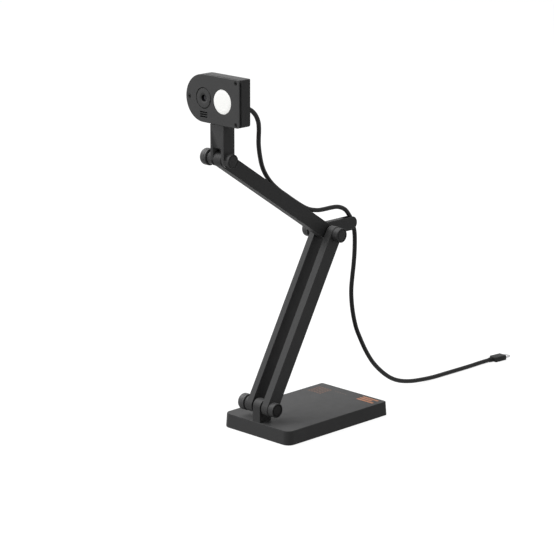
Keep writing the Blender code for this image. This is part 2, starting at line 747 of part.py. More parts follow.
def board_box():
    """The main board's low and high corners, seen from the front."""
    low = (HEAD_RIGHT - HEAD_LENGTH + BOARD_SIDE_MARGIN, HEAD_MIDDLE - HEAD_HEIGHT / 2 + BOARD_EDGE_MARGIN)
    high = (HEAD_RIGHT - BOARD_SIDE_MARGIN, HEAD_MIDDLE + HEAD_HEIGHT / 2 - BOARD_EDGE_MARGIN)
    return low, high


def top_mic_slot():
    """The height of the microphone's top slot, which is set from the head's lower edge."""
    return HEAD_MIDDLE - HEAD_HEIGHT / 2 + MIC_RISE


def standoff_places():
    low, high = board_box()
    across = (low[0] + STANDOFF_INSET, high[0] - STANDOFF_INSET)
    up = (low[1] + STANDOFF_INSET, high[1] - STANDOFF_INSET)
    return [(x, z) for x in across for z in up]


def stem(housing):
    """The stem below the head, which forks over the upper arm and carries the wrist hinge's bosses."""
    half = HEAD_DEPTH / 2 - STEM_SETBACK
    middle = WRIST.y + HEAD_SETBACK
    top = HEAD_MIDDLE - HEAD_HEIGHT / 2
    outline = arc((middle, WRIST.z), half, 180, 360, HUB_STEPS // 2)
    outline += [(middle + half, top + HEAD_WALL / 2), (RIM_FRONT + SINK, top + HEAD_WALL / 2)]
    outline += [(RIM_FRONT + SINK, top - GAP), (middle - half, top - GAP)]
    post = slab("stem_block", outline, -STEM_WIDTH / 2, STEM_WIDTH / 2, "X")
    join(housing, soften(post, HEAD_EDGE))
    place = (WRIST.y, WRIST.z)
    left_inner = -STEM_WIDTH / 2 + SINK
    left = rod("wrist_left_boss", WRIST_BOSS_RADIUS, WRIST_LEFT_FACE, left_inner, place, "X")
    right = rod("wrist_right_boss", WRIST_BOSS_RADIUS, -left_inner, WRIST_RIGHT_FACE, place, "X")
    join(housing, soften(left, HUB_EDGE))
    join(housing, soften(right, HUB_EDGE / 2))
    notch = ARM_THICKNESS / 2 + NOTCH_SIDE_CLEARANCE
    low = (-notch, WRIST.y - HEAD_DEPTH, WRIST.z - HEAD_DEPTH)
    high = (notch, WRIST.y + HEAD_DEPTH, WRIST.z + NOTCH_RISE)
    cut(housing, block("stem_notch", low, high))
    cut_cap_seat(housing, "wrist", WRIST, WRIST_RIGHT_FACE)
    drill_hinge(housing, "wrist_bore", WRIST, WRIST_LEFT_FACE, WRIST_RIGHT_FACE)


def relief_place():
    return (RELIEF_X, HEAD_MIDDLE - RELIEF_DROP)


def head_housing(parent):
    """The head's rear casing, open at the front, with the stem in one piece with it."""
    housing = slab("head_housing", head_outline(0.0), RIM_FRONT, HEAD_BACK, "Y")
    soften(housing, HEAD_EDGE, 2)
    inside_back = HEAD_BACK - HEAD_WALL
    cut(housing, slab("head_cavity", head_outline(HEAD_WALL), RIM_FRONT - OVERRUN, inside_back, "Y"))
    screw_end = HEAD_FRONT + COVER_SCREW_LENGTH + OVERRUN
    pilot_radius = COVER_SCREW_RADIUS + GAP
    for i, place in enumerate(cover_screw_places()):
        low = RIM_FRONT + SINK
        boss = rod(f"cover_boss_{i}", COVER_BOSS_RADIUS, low, inside_back + SINK, place, "Y", SMALL_STEPS)
        join(housing, boss)
        cut(housing, rod(f"cover_pilot_{i}", pilot_radius, RIM_FRONT, screw_end, place, "Y", SMALL_STEPS))
    for i, place in enumerate(standoff_places()):
        low = inside_back - BOARD_STANDOFF
        join(housing, rod(f"standoff_{i}", STANDOFF_RADIUS, low, inside_back + SINK, place, "Y", SMALL_STEPS))
    stem(housing)
    neck = RELIEF_NECK_RADIUS + GAP
    back = HEAD_BACK + OVERRUN
    cut(housing, rod("relief_hole", neck, inside_back - OVERRUN, back, relief_place(), "Y", SMALL_STEPS))
    keep(housing, "head_grey", parent)


def front_cover(parent):
    """The flat front plate, with a lip behind it that leaves a shadow groove round the head."""
    cover = slab("front_cover", head_outline(0.0), HEAD_FRONT, COVER_BACK, "Y")
    soften(cover, HEAD_EDGE)
    lip_back = RIM_FRONT - GAP
    lip = slab("cover_lip", head_outline(REVEAL_DEPTH), COVER_BACK - SINK, lip_back, "Y")
    hollow = slab("cover_hollow", head_outline(REVEAL_DEPTH + LIP_WIDTH), COVER_BACK, lip_back + OVERRUN, "Y")
    cut(join(cover, lip), hollow)
    front = HEAD_FRONT - OVERRUN
    through = RIM_FRONT + OVERRUN
    lens_place = (LENS_X, HEAD_MIDDLE + LENS_RISE)
    light_place = (LED_X, HEAD_MIDDLE - LED_DROP)
    cut(cover, rod("lens_window", BEZEL_RADIUS + GAP, front, through, lens_place, "Y"))
    cut(cover, rod("light_window", DIFFUSER_RADIUS + GAP, front, through, light_place, "Y"))
    for i in range(MIC_SLOTS):
        height = top_mic_slot() - i * MIC_SLOT_PITCH
        low = (LENS_X - MIC_SLOT_LENGTH / 2, front, height - MIC_SLOT_HEIGHT / 2)
        high = (LENS_X + MIC_SLOT_LENGTH / 2, through, height + MIC_SLOT_HEIGHT / 2)
        cut(cover, block(f"mic_slot_{i}", low, high))
    seat = HEAD_FRONT + COVER_SCREW_HEAD + GAP
    seat_radius = COVER_SCREW_HEAD_RADIUS + GAP
    for i, place in enumerate(cover_screw_places()):
        cut(cover, rod(f"cover_hole_{i}", COVER_SCREW_RADIUS + GAP, front, through, place, "Y", SMALL_STEPS))
        cut(cover, rod(f"cover_seat_{i}", seat_radius, front, seat, place, "Y", SMALL_STEPS))
    keep(cover, "head_grey", parent)


def cover_screws(parent):
    tip = HEAD_FRONT + COVER_SCREW_LENGTH
    head_back = HEAD_FRONT + COVER_SCREW_HEAD
    profile = [
        (0.0, tip),
        (COVER_SCREW_RADIUS, tip),
        (COVER_SCREW_RADIUS, head_back),
        (COVER_SCREW_HEAD_RADIUS, head_back),
        (COVER_SCREW_HEAD_RADIUS, HEAD_FRONT),
        (0.0, HEAD_FRONT),
    ]
    for i, place in enumerate(cover_screw_places()):
        keep(turned(f"cover_screw_{i + 1}", profile, place, "Y", SMALL_STEPS), "steel", parent)


def lens(parent):
    """The bezel ring in the cover, the glass in its throat, the barrel behind and the sensor on the board."""
    place = (LENS_X, HEAD_MIDDLE + LENS_RISE)
    bezel_back = HEAD_FRONT + BEZEL_THICKNESS
    dish = HEAD_FRONT + BEZEL_DISH
    bore = GLASS_RADIUS + GAP
    profile = [
        (BEZEL_RADIUS, bezel_back),
        (BEZEL_RADIUS, HEAD_FRONT),
        (BEZEL_LAND, HEAD_FRONT),
        (BEZEL_LAND, dish),
        (BEZEL_THROAT, dish),
        (bore, dish + BEZEL_DISH),
        (bore, bezel_back),
    ]
    keep(turned("lens_bezel", profile, place, "Y", closed=True), "head_grey", parent)
    barrel_front = bezel_back + GAP
    glass_back = barrel_front - GAP
    glass_front = glass_back - GLASS_THICKNESS
    crown = [(0.0, glass_back), (GLASS_RADIUS, glass_back), (GLASS_RADIUS, glass_front)]
    crown += [(GLASS_RADIUS / 2, glass_front - GLASS_CROWN), (0.0, glass_front - GLASS_CROWN)]
    keep(turned("lens_glass", crown, place, "Y", SMALL_STEPS), "lens_glass", parent)
    barrel_back = barrel_front + BARREL_LENGTH
    barrel = rod("lens_barrel", BARREL_RADIUS, barrel_front, barrel_back, place, "Y")
    keep(barrel, "lens_black", parent)
    half = SENSOR_SIZE / 2
    sensor_back = BOARD_FRONT - GAP
    low = (place[0] - half, sensor_back - SENSOR_THICKNESS, place[1] - half)
    high = (place[0] + half, sensor_back, place[1] + half)
    keep(block("image_sensor", low, high), "chip_black", parent)


def light(parent):
    """The round diffuser in its window, with a flange behind the cover, and the lamp board behind it."""
    place = (LED_X, HEAD_MIDDLE - LED_DROP)
    flange_front = COVER_BACK + GAP
    flange_back = flange_front + DIFFUSER_FLANGE_THICKNESS
    flange_radius = DIFFUSER_RADIUS + DIFFUSER_FLANGE
    profile = [
        (0.0, flange_back),
        (flange_radius, flange_back),
        (flange_radius, flange_front),
        (DIFFUSER_RADIUS, flange_front),
        (DIFFUSER_RADIUS, HEAD_FRONT),
        (0.0, HEAD_FRONT),
    ]
    keep(turned("light_diffuser", profile, place, "Y"), "light_white", parent)
    board_front = flange_back + GAP + LED_CHIP_HEIGHT + GAP
    board_back = board_front + LED_BOARD_THICKNESS
    board = rod("lamp_board", LED_BOARD_RADIUS, board_front, board_back, place, "Y")
    half = LED_CHIP_SIZE / 2
    for i in range(LED_CHIPS):
        angle = math.radians(360 * (i + 0.5) / LED_CHIPS)
        x = place[0] + LED_RING_RADIUS * math.cos(angle)
        z = place[1] + LED_RING_RADIUS * math.sin(angle)
        low = (x - half, board_front - LED_CHIP_HEIGHT, z - half)
        high = (x + half, board_front + LED_BOARD_THICKNESS / 2, z + half)
        join(board, block(f"lamp_chip_{i}", low, high))
    keep(board, "board_green", parent)


def electronics(parent):
    """The main board on its standoffs and the microphone behind its slots."""
    low, high = board_box()
    board_back = BOARD_FRONT + BOARD_THICKNESS
    board = block("main_board", (low[0], BOARD_FRONT, low[1]), (high[0], board_back, high[1]))
    keep(board, "board_green", parent)
    middle_slot = top_mic_slot() - MIC_SLOT_PITCH * (MIC_SLOTS - 1) / 2
    front = COVER_BACK + GAP
    can = rod("microphone", MIC_RADIUS, front, front + MIC_DEPTH, (LENS_X, middle_slot), "Y", SMALL_STEPS)
    keep(can, "chip_black", parent)


# Cable


def strain_relief(parent):
    """A rubber sleeve on the head's back, held by a flange inside the casing."""
    inside = HEAD_BACK - HEAD_WALL - GAP
    foot = HEAD_BACK + GAP
    tip = foot + RELIEF_LENGTH
    profile = [
        (0.0, tip),
        (RELIEF_TIP_RADIUS, tip),
        (RELIEF_RADIUS, foot),
        (RELIEF_NECK_RADIUS, foot),
        (RELIEF_NECK_RADIUS, inside),
        (RELIEF_FLANGE_RADIUS, inside),
        (RELIEF_FLANGE_RADIUS, inside - RELIEF_FLANGE),
        (0.0, inside - RELIEF_FLANGE),
    ]
    keep(turned("strain_relief", profile, relief_place(), "Y", SMALL_STEPS), "pad_rubber", parent)


def smooth_route(route, spacing):
    """Points at even steps along a smooth curve through a route's own points."""
    nodes = [Vector(point) for point in route]
    nodes = [2 * nodes[0] - nodes[1]] + nodes + [2 * nodes[-1] - nodes[-2]]
    fine = []
    for before, start, end, after in zip(nodes, nodes[1:], nodes[2:], nodes[3:]):
        for i in range(ROUND_STEPS):
            t = i / ROUND_STEPS
            bend = 2 * before - 5 * start + 4 * end - after
            twist = 3 * start - before - 3 * end + after
            fine.append((2 * start + (end - before) * t + bend * t * t + twist * t * t * t) / 2)
    fine.append(nodes[-2])
    lengths = [0.0]
    for start, end in zip(fine, fine[1:]):
        lengths.append(lengths[-1] + (end - start).length)
    count = max(2, round(lengths[-1] / spacing))
    points = []
    at = 0
    for i in range(count + 1):
        wanted = lengths[-1] * i / count
        while at < len(fine) - 2 and lengths[at + 1] < wanted:
            at += 1
        share = (wanted - lengths[at]) / (lengths[at + 1] - lengths[at])
        points.append(fine[at].lerp(fine[at + 1], share))
    return points


def cord(name, route, parent=None):
    """A round cable along a route, with flat ends."""
    curve = bpy.data.curves.new(name, "CURVE")
    curve.dimensions = "3D"
    curve.bevel_depth = CABLE_DIAMETER / 2
    curve.bevel_resolution = 2
    curve.use_fill_caps = True
    spline = curve.splines.new("POLY")
    points = smooth_route(route, CORD_SPACING)
    spline.points.add(len(points) - 1)
    for point, place in zip(spline.points, points):
        point.co = (*place, 1.0)
    keep(guide(bpy.data.objects.new(name, curve)), "cable_black", parent)


def plug():
    """The connector at the cable's far end, lying on the table: overmould, metal shell and tongue."""
    seat = new_axis("plug_seat", Vector((PLUG_X, PLUG_Y, PLUG_LIFT + PLUG_HEIGHT / 2)))
    half_width = PLUG_WIDTH / 2
    half_height = PLUG_HEIGHT / 2
    body_end = PLUG_SLEEVE + PLUG_BODY
    body = block("usb_plug", (-half_width, PLUG_SLEEVE, -half_height), (half_width, body_end, half_height))
    soften(body, PLUG_EDGE, 2)
    sleeve_end = PLUG_SLEEVE + SINK
    tip = PLUG_SLEEVE_TIP
    sleeve = rod("plug_sleeve", tip, 0.0, sleeve_end, (0.0, 0.0), "Y", SMALL_STEPS, PLUG_SLEEVE_RADIUS)
    join(body, sleeve)
    socket_floor = body_end - SHELL_ROOT - GAP
    socket_width = SHELL_WIDTH / 2 + GAP
    socket_height = SHELL_HEIGHT / 2 + GAP
    socket_low = (-socket_width, socket_floor, -socket_height)
    socket = block("plug_socket", socket_low, (socket_width, body_end + OVERRUN, socket_height))
    cut(body, socket)
    shell_low = body_end - SHELL_ROOT
    shell_high = body_end + SHELL_REACH
    radii = [SHELL_HEIGHT / 2] * 4
    outer_corner = (SHELL_WIDTH / 2, SHELL_HEIGHT / 2)
    outer = rounded_box((-outer_corner[0], -outer_corner[1]), outer_corner, radii)
    inner = rounded_box((-outer_corner[0], -outer_corner[1]), outer_corner, radii, SHELL_WALL)
    shell = slab("usb_shell", outer, shell_low, shell_high, "Y")
    mouth = slab("usb_mouth", inner, shell_low + 2 * SHELL_WALL, shell_high + OVERRUN, "Y")
    cut(shell, mouth)
    tongue_low = (-TONGUE_WIDTH / 2, shell_low + 2 * SHELL_WALL + GAP, -TONGUE_THICKNESS / 2)
    tongue_high = (TONGUE_WIDTH / 2, body_end + TONGUE_REACH, TONGUE_THICKNESS / 2)
    tongue = block("usb_tongue", tongue_low, tongue_high)
    for obj in (body, sleeve, socket, shell, mouth, tongue):
        obj.parent = seat
    seat.rotation_euler.z = math.radians(PLUG_HEADING)
    keep(body, "cable_black")
    keep(shell, "steel")
    keep(tongue, "chip_black")


clear_scene()
parts = new_collection("document_camera")
cutters = new_collection("cutters")
materials = {name: new_material(name) for name in COLOURS}
foot_axis = new_axis("foot_axis", FOOT)
elbow_axis = new_axis("elbow_axis", ELBOW, foot_axis)
wrist_axis = new_axis("wrist_axis", WRIST, elbow_axis)

base_shell()
base_underside()
hinge_bush("foot_bush", FOOT, None)

lower_bar_left(foot_axis)
lower_bar_right(foot_axis)
for hinge, place in (("foot", FOOT), ("elbow", ELBOW)):
    hinge_washers(hinge, place, foot_axis)
    hinge_pin(f"{hinge}_pin", place, ARM_LEFT_FACE, ARM_RIGHT_FACE, foot_axis)
    hinge_cap(f"{hinge}_end_cap", place, ARM_RIGHT_FACE, foot_axis)
    hinge_knob(f"{hinge}_knob", place, ARM_LEFT_FACE, foot_axis)

upper_arm_bar(elbow_axis)
hinge_bush("elbow_bush", ELBOW, elbow_axis)
hinge_bush("wrist_bush", WRIST, elbow_axis)

head_housing(wrist_axis)
front_cover(wrist_axis)
cover_screws(wrist_axis)
lens(wrist_axis)
light(wrist_axis)
electronics(wrist_axis)
hinge_pin("wrist_pin", WRIST, WRIST_LEFT_FACE, WRIST_RIGHT_FACE, wrist_axis)
hinge_cap("wrist_end_cap", WRIST, WRIST_RIGHT_FACE, wrist_axis)
hinge_knob("wrist_knob", WRIST, WRIST_LEFT_FACE, wrist_axis)

strain_relief(wrist_axis)
cord("cord_head", HEAD_ROUTE, wrist_axis)
cord("cord_elbow", ELBOW_ROUTE, elbow_axis)
cord("cord_drop", DROP_ROUTE)
plug()
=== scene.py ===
"""The document camera's looks: its view, cable, finer pieces, materials, marks, floor and light.

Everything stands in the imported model's frame: metres, +Z up, the lens looking along -Y and the knobs at -X.
"""

import json
import math

import bmesh
import bpy
from mathutils import Matrix, Vector


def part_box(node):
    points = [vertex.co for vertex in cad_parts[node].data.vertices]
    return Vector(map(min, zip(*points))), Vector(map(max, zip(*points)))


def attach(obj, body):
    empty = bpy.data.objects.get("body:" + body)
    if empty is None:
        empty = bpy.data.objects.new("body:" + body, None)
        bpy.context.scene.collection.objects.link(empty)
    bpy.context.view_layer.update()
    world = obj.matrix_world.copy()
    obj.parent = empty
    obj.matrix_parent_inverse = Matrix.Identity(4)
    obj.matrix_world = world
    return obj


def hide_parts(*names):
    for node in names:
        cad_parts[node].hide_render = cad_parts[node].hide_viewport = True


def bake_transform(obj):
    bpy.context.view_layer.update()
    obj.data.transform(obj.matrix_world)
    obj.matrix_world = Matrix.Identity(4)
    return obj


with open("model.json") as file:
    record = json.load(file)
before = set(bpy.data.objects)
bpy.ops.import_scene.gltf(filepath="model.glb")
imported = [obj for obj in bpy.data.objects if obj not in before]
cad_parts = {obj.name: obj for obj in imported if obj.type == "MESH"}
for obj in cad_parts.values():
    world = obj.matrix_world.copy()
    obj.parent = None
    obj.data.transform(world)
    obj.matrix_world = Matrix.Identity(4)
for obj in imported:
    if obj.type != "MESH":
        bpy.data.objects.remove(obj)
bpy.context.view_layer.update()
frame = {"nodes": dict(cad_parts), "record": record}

# The photo's view
CAMERA_PLACE = (1.6169, -1.6649, 0.7578)
CAMERA_AIM = (-0.01998, -0.01998, 0.14551)
CAMERA_LENS = 161.83
SENSOR_WIDTH = 36.0
CLIP_START = 0.05
CLIP_END = 60.0

# Cable: its thickness, the lengths of its three parts, how finely it is drawn, and its route to the plug
CABLE_DIAMETER = 0.0044
CORD_RING_SPACING = 0.002
CORD_SIDES = 16
CORD_CURVE_STEPS = 12
HEAD_ROUTE = [
    (0.0100, -0.0951, 0.3243), (0.0100, -0.0900, 0.3241), (0.0096, -0.0833, 0.3213),
    (0.0082, -0.0762, 0.3155), (0.0066, -0.0712, 0.3082), (0.0050, -0.0689, 0.3010),
    (0.0034, -0.0676, 0.2938), (0.0017, -0.0661, 0.2872), (0.0000, -0.0637, 0.2796),
    (-0.0020, -0.0604, 0.2722), (-0.0044, -0.0562, 0.2646), (-0.0066, -0.0509, 0.2569),
    (-0.0082, -0.0441, 0.2487), (-0.0095, -0.0360, 0.2410), (-0.0099, -0.0270, 0.2338),
    (-0.0099, -0.0178, 0.2276),
]
ELBOW_ROUTE = [
    (-0.0099, -0.0178, 0.2276), (-0.0099, -0.0080, 0.2210), (-0.0099, 0.0020, 0.2147),
    (-0.0099, 0.0090, 0.2108), (-0.0099, 0.0158, 0.2080), (-0.0099, 0.0260, 0.2057),
    (-0.0099, 0.0355, 0.2052), (-0.0099, 0.0450, 0.2052), (-0.0099, 0.0534, 0.2045),
    (-0.0099, 0.0610, 0.2019), (-0.0099, 0.0662, 0.1983), (-0.0099, 0.0701, 0.1935),
    (-0.0099, 0.0728, 0.1898), (-0.0099, 0.0747, 0.1856),
]
DROP_ROUTE = [
    (-0.0099, 0.0747, 0.1856), (-0.0099, 0.0762, 0.1810), (-0.0097, 0.0775, 0.1767),
    (-0.0092, 0.0778, 0.1688), (-0.0086, 0.0770, 0.1561), (-0.0078, 0.0750, 0.1435),
    (-0.0075, 0.0729, 0.1310), (-0.0072, 0.0712, 0.1183), (-0.0069, 0.0716, 0.1052),
    (-0.0065, 0.0736, 0.0918), (-0.0062, 0.0776, 0.0778), (-0.0059, 0.0831, 0.0662),
    (-0.0056, 0.0913, 0.0514), (-0.0052, 0.1014, 0.0373), (-0.0049, 0.1136, 0.0254),
    (-0.0046, 0.1267, 0.0158), (-0.0043, 0.1400, 0.0096), (-0.0039, 0.1553, 0.0057),
    (-0.0036, 0.1706, 0.0037), (-0.0031, 0.1899, 0.0024), (-0.0026, 0.2089, 0.0023),
    (-0.0021, 0.2284, 0.0023), (-0.0018, 0.2482, 0.0023), (-0.0015, 0.2640, 0.0026),
    (-0.0009, 0.2740, 0.0028), (-0.0006, 0.2775, 0.0029),
]

# Light and floor: together the fill and the key lamp show a colour about as it is written
FILL_LEVEL = 0.22
FLOOR_ALBEDO = 0.15
FLOOR_GLOW = 0.93
FLOOR_SIZE = 16.0
KEY_PLACE = (-0.90, -0.66, 2.14)
KEY_SIZE = 2.4
KEY_POWER = 94.0
LIGHT_AIM = (0.0, -0.01, 0.17)

# Colours, as linear red, green and blue
WHITE = (1.0, 1.0, 1.0)
SHELL_COLOUR = (0.0420, 0.0420, 0.0425)
ARM_COLOUR = (0.0460, 0.0460, 0.0465)
HEAD_COLOUR = (0.0525, 0.0525, 0.0530)
COVER_COLOUR = (0.0655, 0.0655, 0.0660)
KNOB_COLOUR = (0.0740, 0.0740, 0.0745)
CAP_COLOUR = (0.025, 0.025, 0.025)
SCREW_COLOUR = (0.014, 0.014, 0.014)
CABLE_COLOUR = (0.009, 0.009, 0.009)
LENS_COLOUR = (0.006, 0.006, 0.006)
CHIP_COLOUR = (0.006, 0.006, 0.006)
# Near black, for the painted shade in the gap behind the front plate
GAP_SHADE_COLOUR = (0.002, 0.002, 0.002)
RUBBER_COLOUR = (0.018, 0.018, 0.018)
BUSH_COLOUR = (0.70, 0.69, 0.65)
STEEL_COLOUR = (0.55, 0.55, 0.56)
ZINC_COLOUR = (0.42, 0.43, 0.45)
BOARD_COLOUR = (0.02, 0.11, 0.05)
GLASS_COLOUR = (0.006, 0.007, 0.010)
COATING_COLOUR = (0.020, 0.014, 0.034)
LAMP_COLOUR = (0.92, 0.92, 0.90)
LAMP_GLOW_COLOUR = (1.0, 1.0, 0.98)
ORANGE_INK = (0.42, 0.190, 0.110)
BRICK_INK = (0.135, 0.082, 0.062)
GREY_INK = (0.110, 0.085, 0.074)

# Ranges of a pattern's values, and how much detail a noise has
FULL_RANGE = (0.0, 1.0)
FALLING_RANGE = (1.0, 0.0)
WAVE_RANGE = (-1.0, 1.0)
SOFT_DETAIL = 2.0
PATCH_DETAIL = 3.0
SPECK_DETAIL = 4.0
PLAIN_SPECULAR = 0.5

# In each finish, SHADES are shares of its colour, GLOSS is added to its roughness, RANGE is where it shows

# Moulded plastic: its clouds, its grain, the pale tips of its grains and its glossy patches
CASING_ROUGHNESS = 0.55
CASING_SPECULAR = 0.18
KNOB_ROUGHNESS = 0.42
CAP_ROUGHNESS = 0.60
CAP_SPECULAR = 0.15
CLOUD_SIZE = 0.022
CLOUD_SHADES = (0.95, 1.05)
GRAIN_SIZE = 0.00045
GRAIN_HEIGHT = 0.00003
GRAIN_STRENGTH = 0.35
FINE_GRAIN_SIZE = 0.0003
FINE_GRAIN_HEIGHT = 0.00002
PALE_GRAIN_RANGE = (0.35, 0.75)
PALE_GRAIN_SHARES = (0.0, 0.30)
PALE_GRAIN_SHADE = 1.45
GLOSS_PATCH_SIZE = 0.009
GLOSS_PATCH_RANGE = (0.3, 0.7)
CASING_GLOSS = (-0.02, 0.03)

# Its handled edges: how wide they are, where they are rubbed, and how pale and shiny that leaves them; the
# paleness is partly wear and partly a painted highlight
EDGE_RADIUS = 0.0005
EDGE_SAMPLES = 4
EDGE_RANGE = (0.80, 0.985)
RUB_PATCH_SIZE = 0.006
RUB_PATCH_RANGE = (0.35, 0.65)
RUB_AND_HIGHLIGHT_SHADE = 2.2
RUB_AND_HIGHLIGHT_FADE = 0.30
RUB_POLISH = 0.10

# Plastic from a polished mould: its ripples and dull patches
SMOOTH_SPECULAR = 0.35
SMOOTH_GLOSS = (-0.05, 0.10)
LENS_ROUGHNESS = 0.45
LENS_SPECULAR = 0.2
CHIP_ROUGHNESS = 0.60
CHIP_SPECULAR = 0.1
BUSH_ROUGHNESS = 0.45
SCREW_ROUGHNESS = 0.5
SCREW_SPECULAR = 0.2
RIPPLE_SIZE = 0.004
RIPPLE_HEIGHT = 0.00006
RIPPLE_STRENGTH = 0.15
RIPPLE_SHADES = (0.88, 1.15)
DULL_PATCH_SIZE = 0.0022
DULL_PATCH_RANGE = (0.35, 0.70)

# Cable sheath: its bloom and scuffs
SHEATH_ROUGHNESS = 0.5
SHEATH_SPECULAR = 0.22
SHEATH_GLOSS = (-0.06, 0.08)
BLOOM_SIZE = 0.012
BLOOM_RANGE = (0.35, 0.7)
BLOOM_SHADES = (0.85, 1.4)
SCUFF_SIZE = 0.0007
SCUFF_RANGE = (0.3, 0.7)
SCUFF_HEIGHT = 0.00003
SCUFF_STRENGTH = 0.25

# Rubber: its pebbled face and dust
RUBBER_ROUGHNESS = 0.85
RUBBER_SPECULAR = 0.3
RUBBER_GLOSS = (-0.10, 0.07)
PEBBLE_SIZE = 0.0007
PEBBLE_HEIGHT = 0.00008
PEBBLE_STRENGTH = 0.5
DUST_SIZE = 0.003
DUST_RANGE = (0.45, 0.75)
DUST_SHARES = (0.0, 0.4)
DUST_SHADES = (1.0, 2.4)

# Metal: brushed lines along Y and stains, or crystal patches
STEEL_ROUGHNESS = 0.32
BRUSH_STRETCH = (1.0, 0.08, 1.0)
BRUSH_LINE_SIZE = 0.00025
BRUSH_LINE_HEIGHT = 0.00002
BRUSH_LINE_RANGE = (0.3, 0.7)
BRUSH_STRENGTH = 0.2
BRUSHED_GLOSS = (-0.08, 0.12)
STAIN_SHADES = (0.86, 1.05)
ZINC_ROUGHNESS = 0.5
CRYSTAL_SIZE = 0.0038
CRYSTAL_SHADES = (0.8, 1.1)
CRYSTAL_GLOSS = (-0.08, 0.12)

# Circuit board: its tracks under the lacquer
BOARD_ROUGHNESS = 0.35
TRACK_CELL_SIZE = 0.0024
TRACK_RANGE = (0.30, 0.42)
TRACK_SHADES = (0.8, 2.0)
TRACK_HEIGHT = 0.00004
TRACK_STRENGTH = 0.4

# Lamp cover: its moulded rings, its milkiness and its light
LAMP_ROUGHNESS = 0.35
LAMP_GLOSS = (-0.05, 0.07)
LAMP_RING_PITCH = 0.0009
LAMP_RING_HEIGHT = 0.00006
LAMP_RING_STRENGTH = 0.25
LAMP_GLOW = 0.35
MILK_SHADES = (0.97, 1.0)

# Lens glass: its coating, seen at a slant, and its smudges
GLASS_ROUGHNESS = 0.04
GLASS_SPECULAR = 0.35
GLASS_GLOSS = (-0.01, 0.06)
GLASS_SHADE = 0.6
COATING_BLEND = 0.35
SMUDGE_SIZE = 0.0012
SMUDGE_RANGE = (0.45, 0.75)

# Ink: its uneven patches
INK_ROUGHNESS = 0.55
INK_GLOSS = (-0.07, 0.09)
INK_PATCH_SIZE = 0.0006
INK_SHADES = (0.80, 1.10)
INK_GRAIN_STRENGTH = 0.3

# Facets, sharp edges, and the rounding of the CAD's own edges
TURNED_STEPS = 64
FILLET_STEPS = 4
DOME_STEPS = 12
QUARTER_TURN = math.radians(90.0)
SHARP_ANGLE = 38.0
SMALLEST = 0.0000001
CAD_ROUNDING = 0.00018
ROUNDING_SEGMENTS = 2
ROUNDED_ANGLE = 30.0
COVER_ROUNDED_ANGLE = 50.0
FLAT_ANGLE = 1.0
WELD_DISTANCE = 0.000002
JOIN_DISTANCE = 0.00002
ROUNDED_NODES = (
    "base_shell", "lower_bar_left", "lower_bar_right", "upper_arm_bar", "head_housing", "usb_shell",
    "base_bottom_plate", "base_pad",
)

# Knobs: neck against the boss, shoulder, the fine line round the drum, and the domed end
KNOB_NECK_RADIUS = 0.0056
KNOB_NECK_LENGTH = 0.0006
KNOB_SHOULDER = 0.0005
KNOB_LINE_PLACE = 0.0026
KNOB_LINE_WIDTH = 0.0003
KNOB_LINE_DEPTH = 0.0002
KNOB_DOME = 0.0032
KNOB_DISH = 0.0002
KNOB_FILLET = 0.0002

# End caps: the middle disc, the groove round it and the thin rim
CAP_DISC_RADIUS = 0.0049
CAP_GROOVE_DEPTH = 0.0008
PLAIN_GROOVE_DEPTH = 0.0003
CAP_RIM = 0.0003
CAP_DISH = 0.0001
CAP_FILLET = 0.00012

# Lens: the groove round its ring, the cone to the bore, the stepped throat, the domed glass and the index
BEZEL_GROOVE_WIDTH = 0.0007
BEZEL_GROOVE_DEPTH = 0.0008
BEZEL_CONE = 0.0050
BEZEL_CONE_DEPTH = 0.0005
BEZEL_BORE = 0.0034
BEZEL_FILLET = 0.00015
THROAT_STEPS = 3
THROAT_STEP_WIDTH = 0.00022
GLASS_DOME = 0.0006
INDEX_START = 0.0076
INDEX_WIDTH = 0.0014
INDEX_SPREAD = 9.0
INDEX_STEPS = 6
INDEX_ANGLE = -20.0
INDEX_RISE = 0.00004

# Gauze between the slots and the microphone
GAUZE_WIDTH = 0.0114
GAUZE_HEIGHT = 0.0070
GAUZE_GAP = 0.00018
GAUZE_THICKNESS = 0.00008

# Lamp cover: its flange and its crowned face
FLANGE_WIDTH = 0.0012
FLANGE_THICKNESS = 0.0008
LAMP_CROWN = 0.0002
LAMP_CROWN_SHARE = 0.75
LAMP_FILLET = 0.0003

# Screws in the front plate: how deep they sit, the socket, the rounded rim, the head and the shank
COVER_SCREWS = 3
SCREW_SINK = 0.0001
SCREW_SOCKET_DEPTH = 0.0008
SCREW_SOCKET_SHARE = 0.5
SCREW_RIM_DROP = 0.0004
SCREW_HEAD = 0.0007
SCREW_SHANK_RADIUS = 0.0008
SCREW_FILLET = 0.00008

# Strain relief: its collar inside the casing, its neck, and ribs that get smaller
RELIEF_LENGTH = 0.008
RELIEF_COLLAR = 0.0008
RELIEF_NECK_RADIUS = 0.0022
RELIEF_RIBS = 4
RELIEF_RIB_PITCH = 0.0019
RELIEF_RIB_LENGTH = 0.0012
RELIEF_RIB_RADIUS = 0.0032
RELIEF_RIB_SHRINK = 0.00018
RELIEF_RIB_DEPTH = 0.0006
RELIEF_TIP_RADIUS = 0.0024
RELIEF_OVERHANG = 0.0004
RELIEF_FILLET = 0.00015

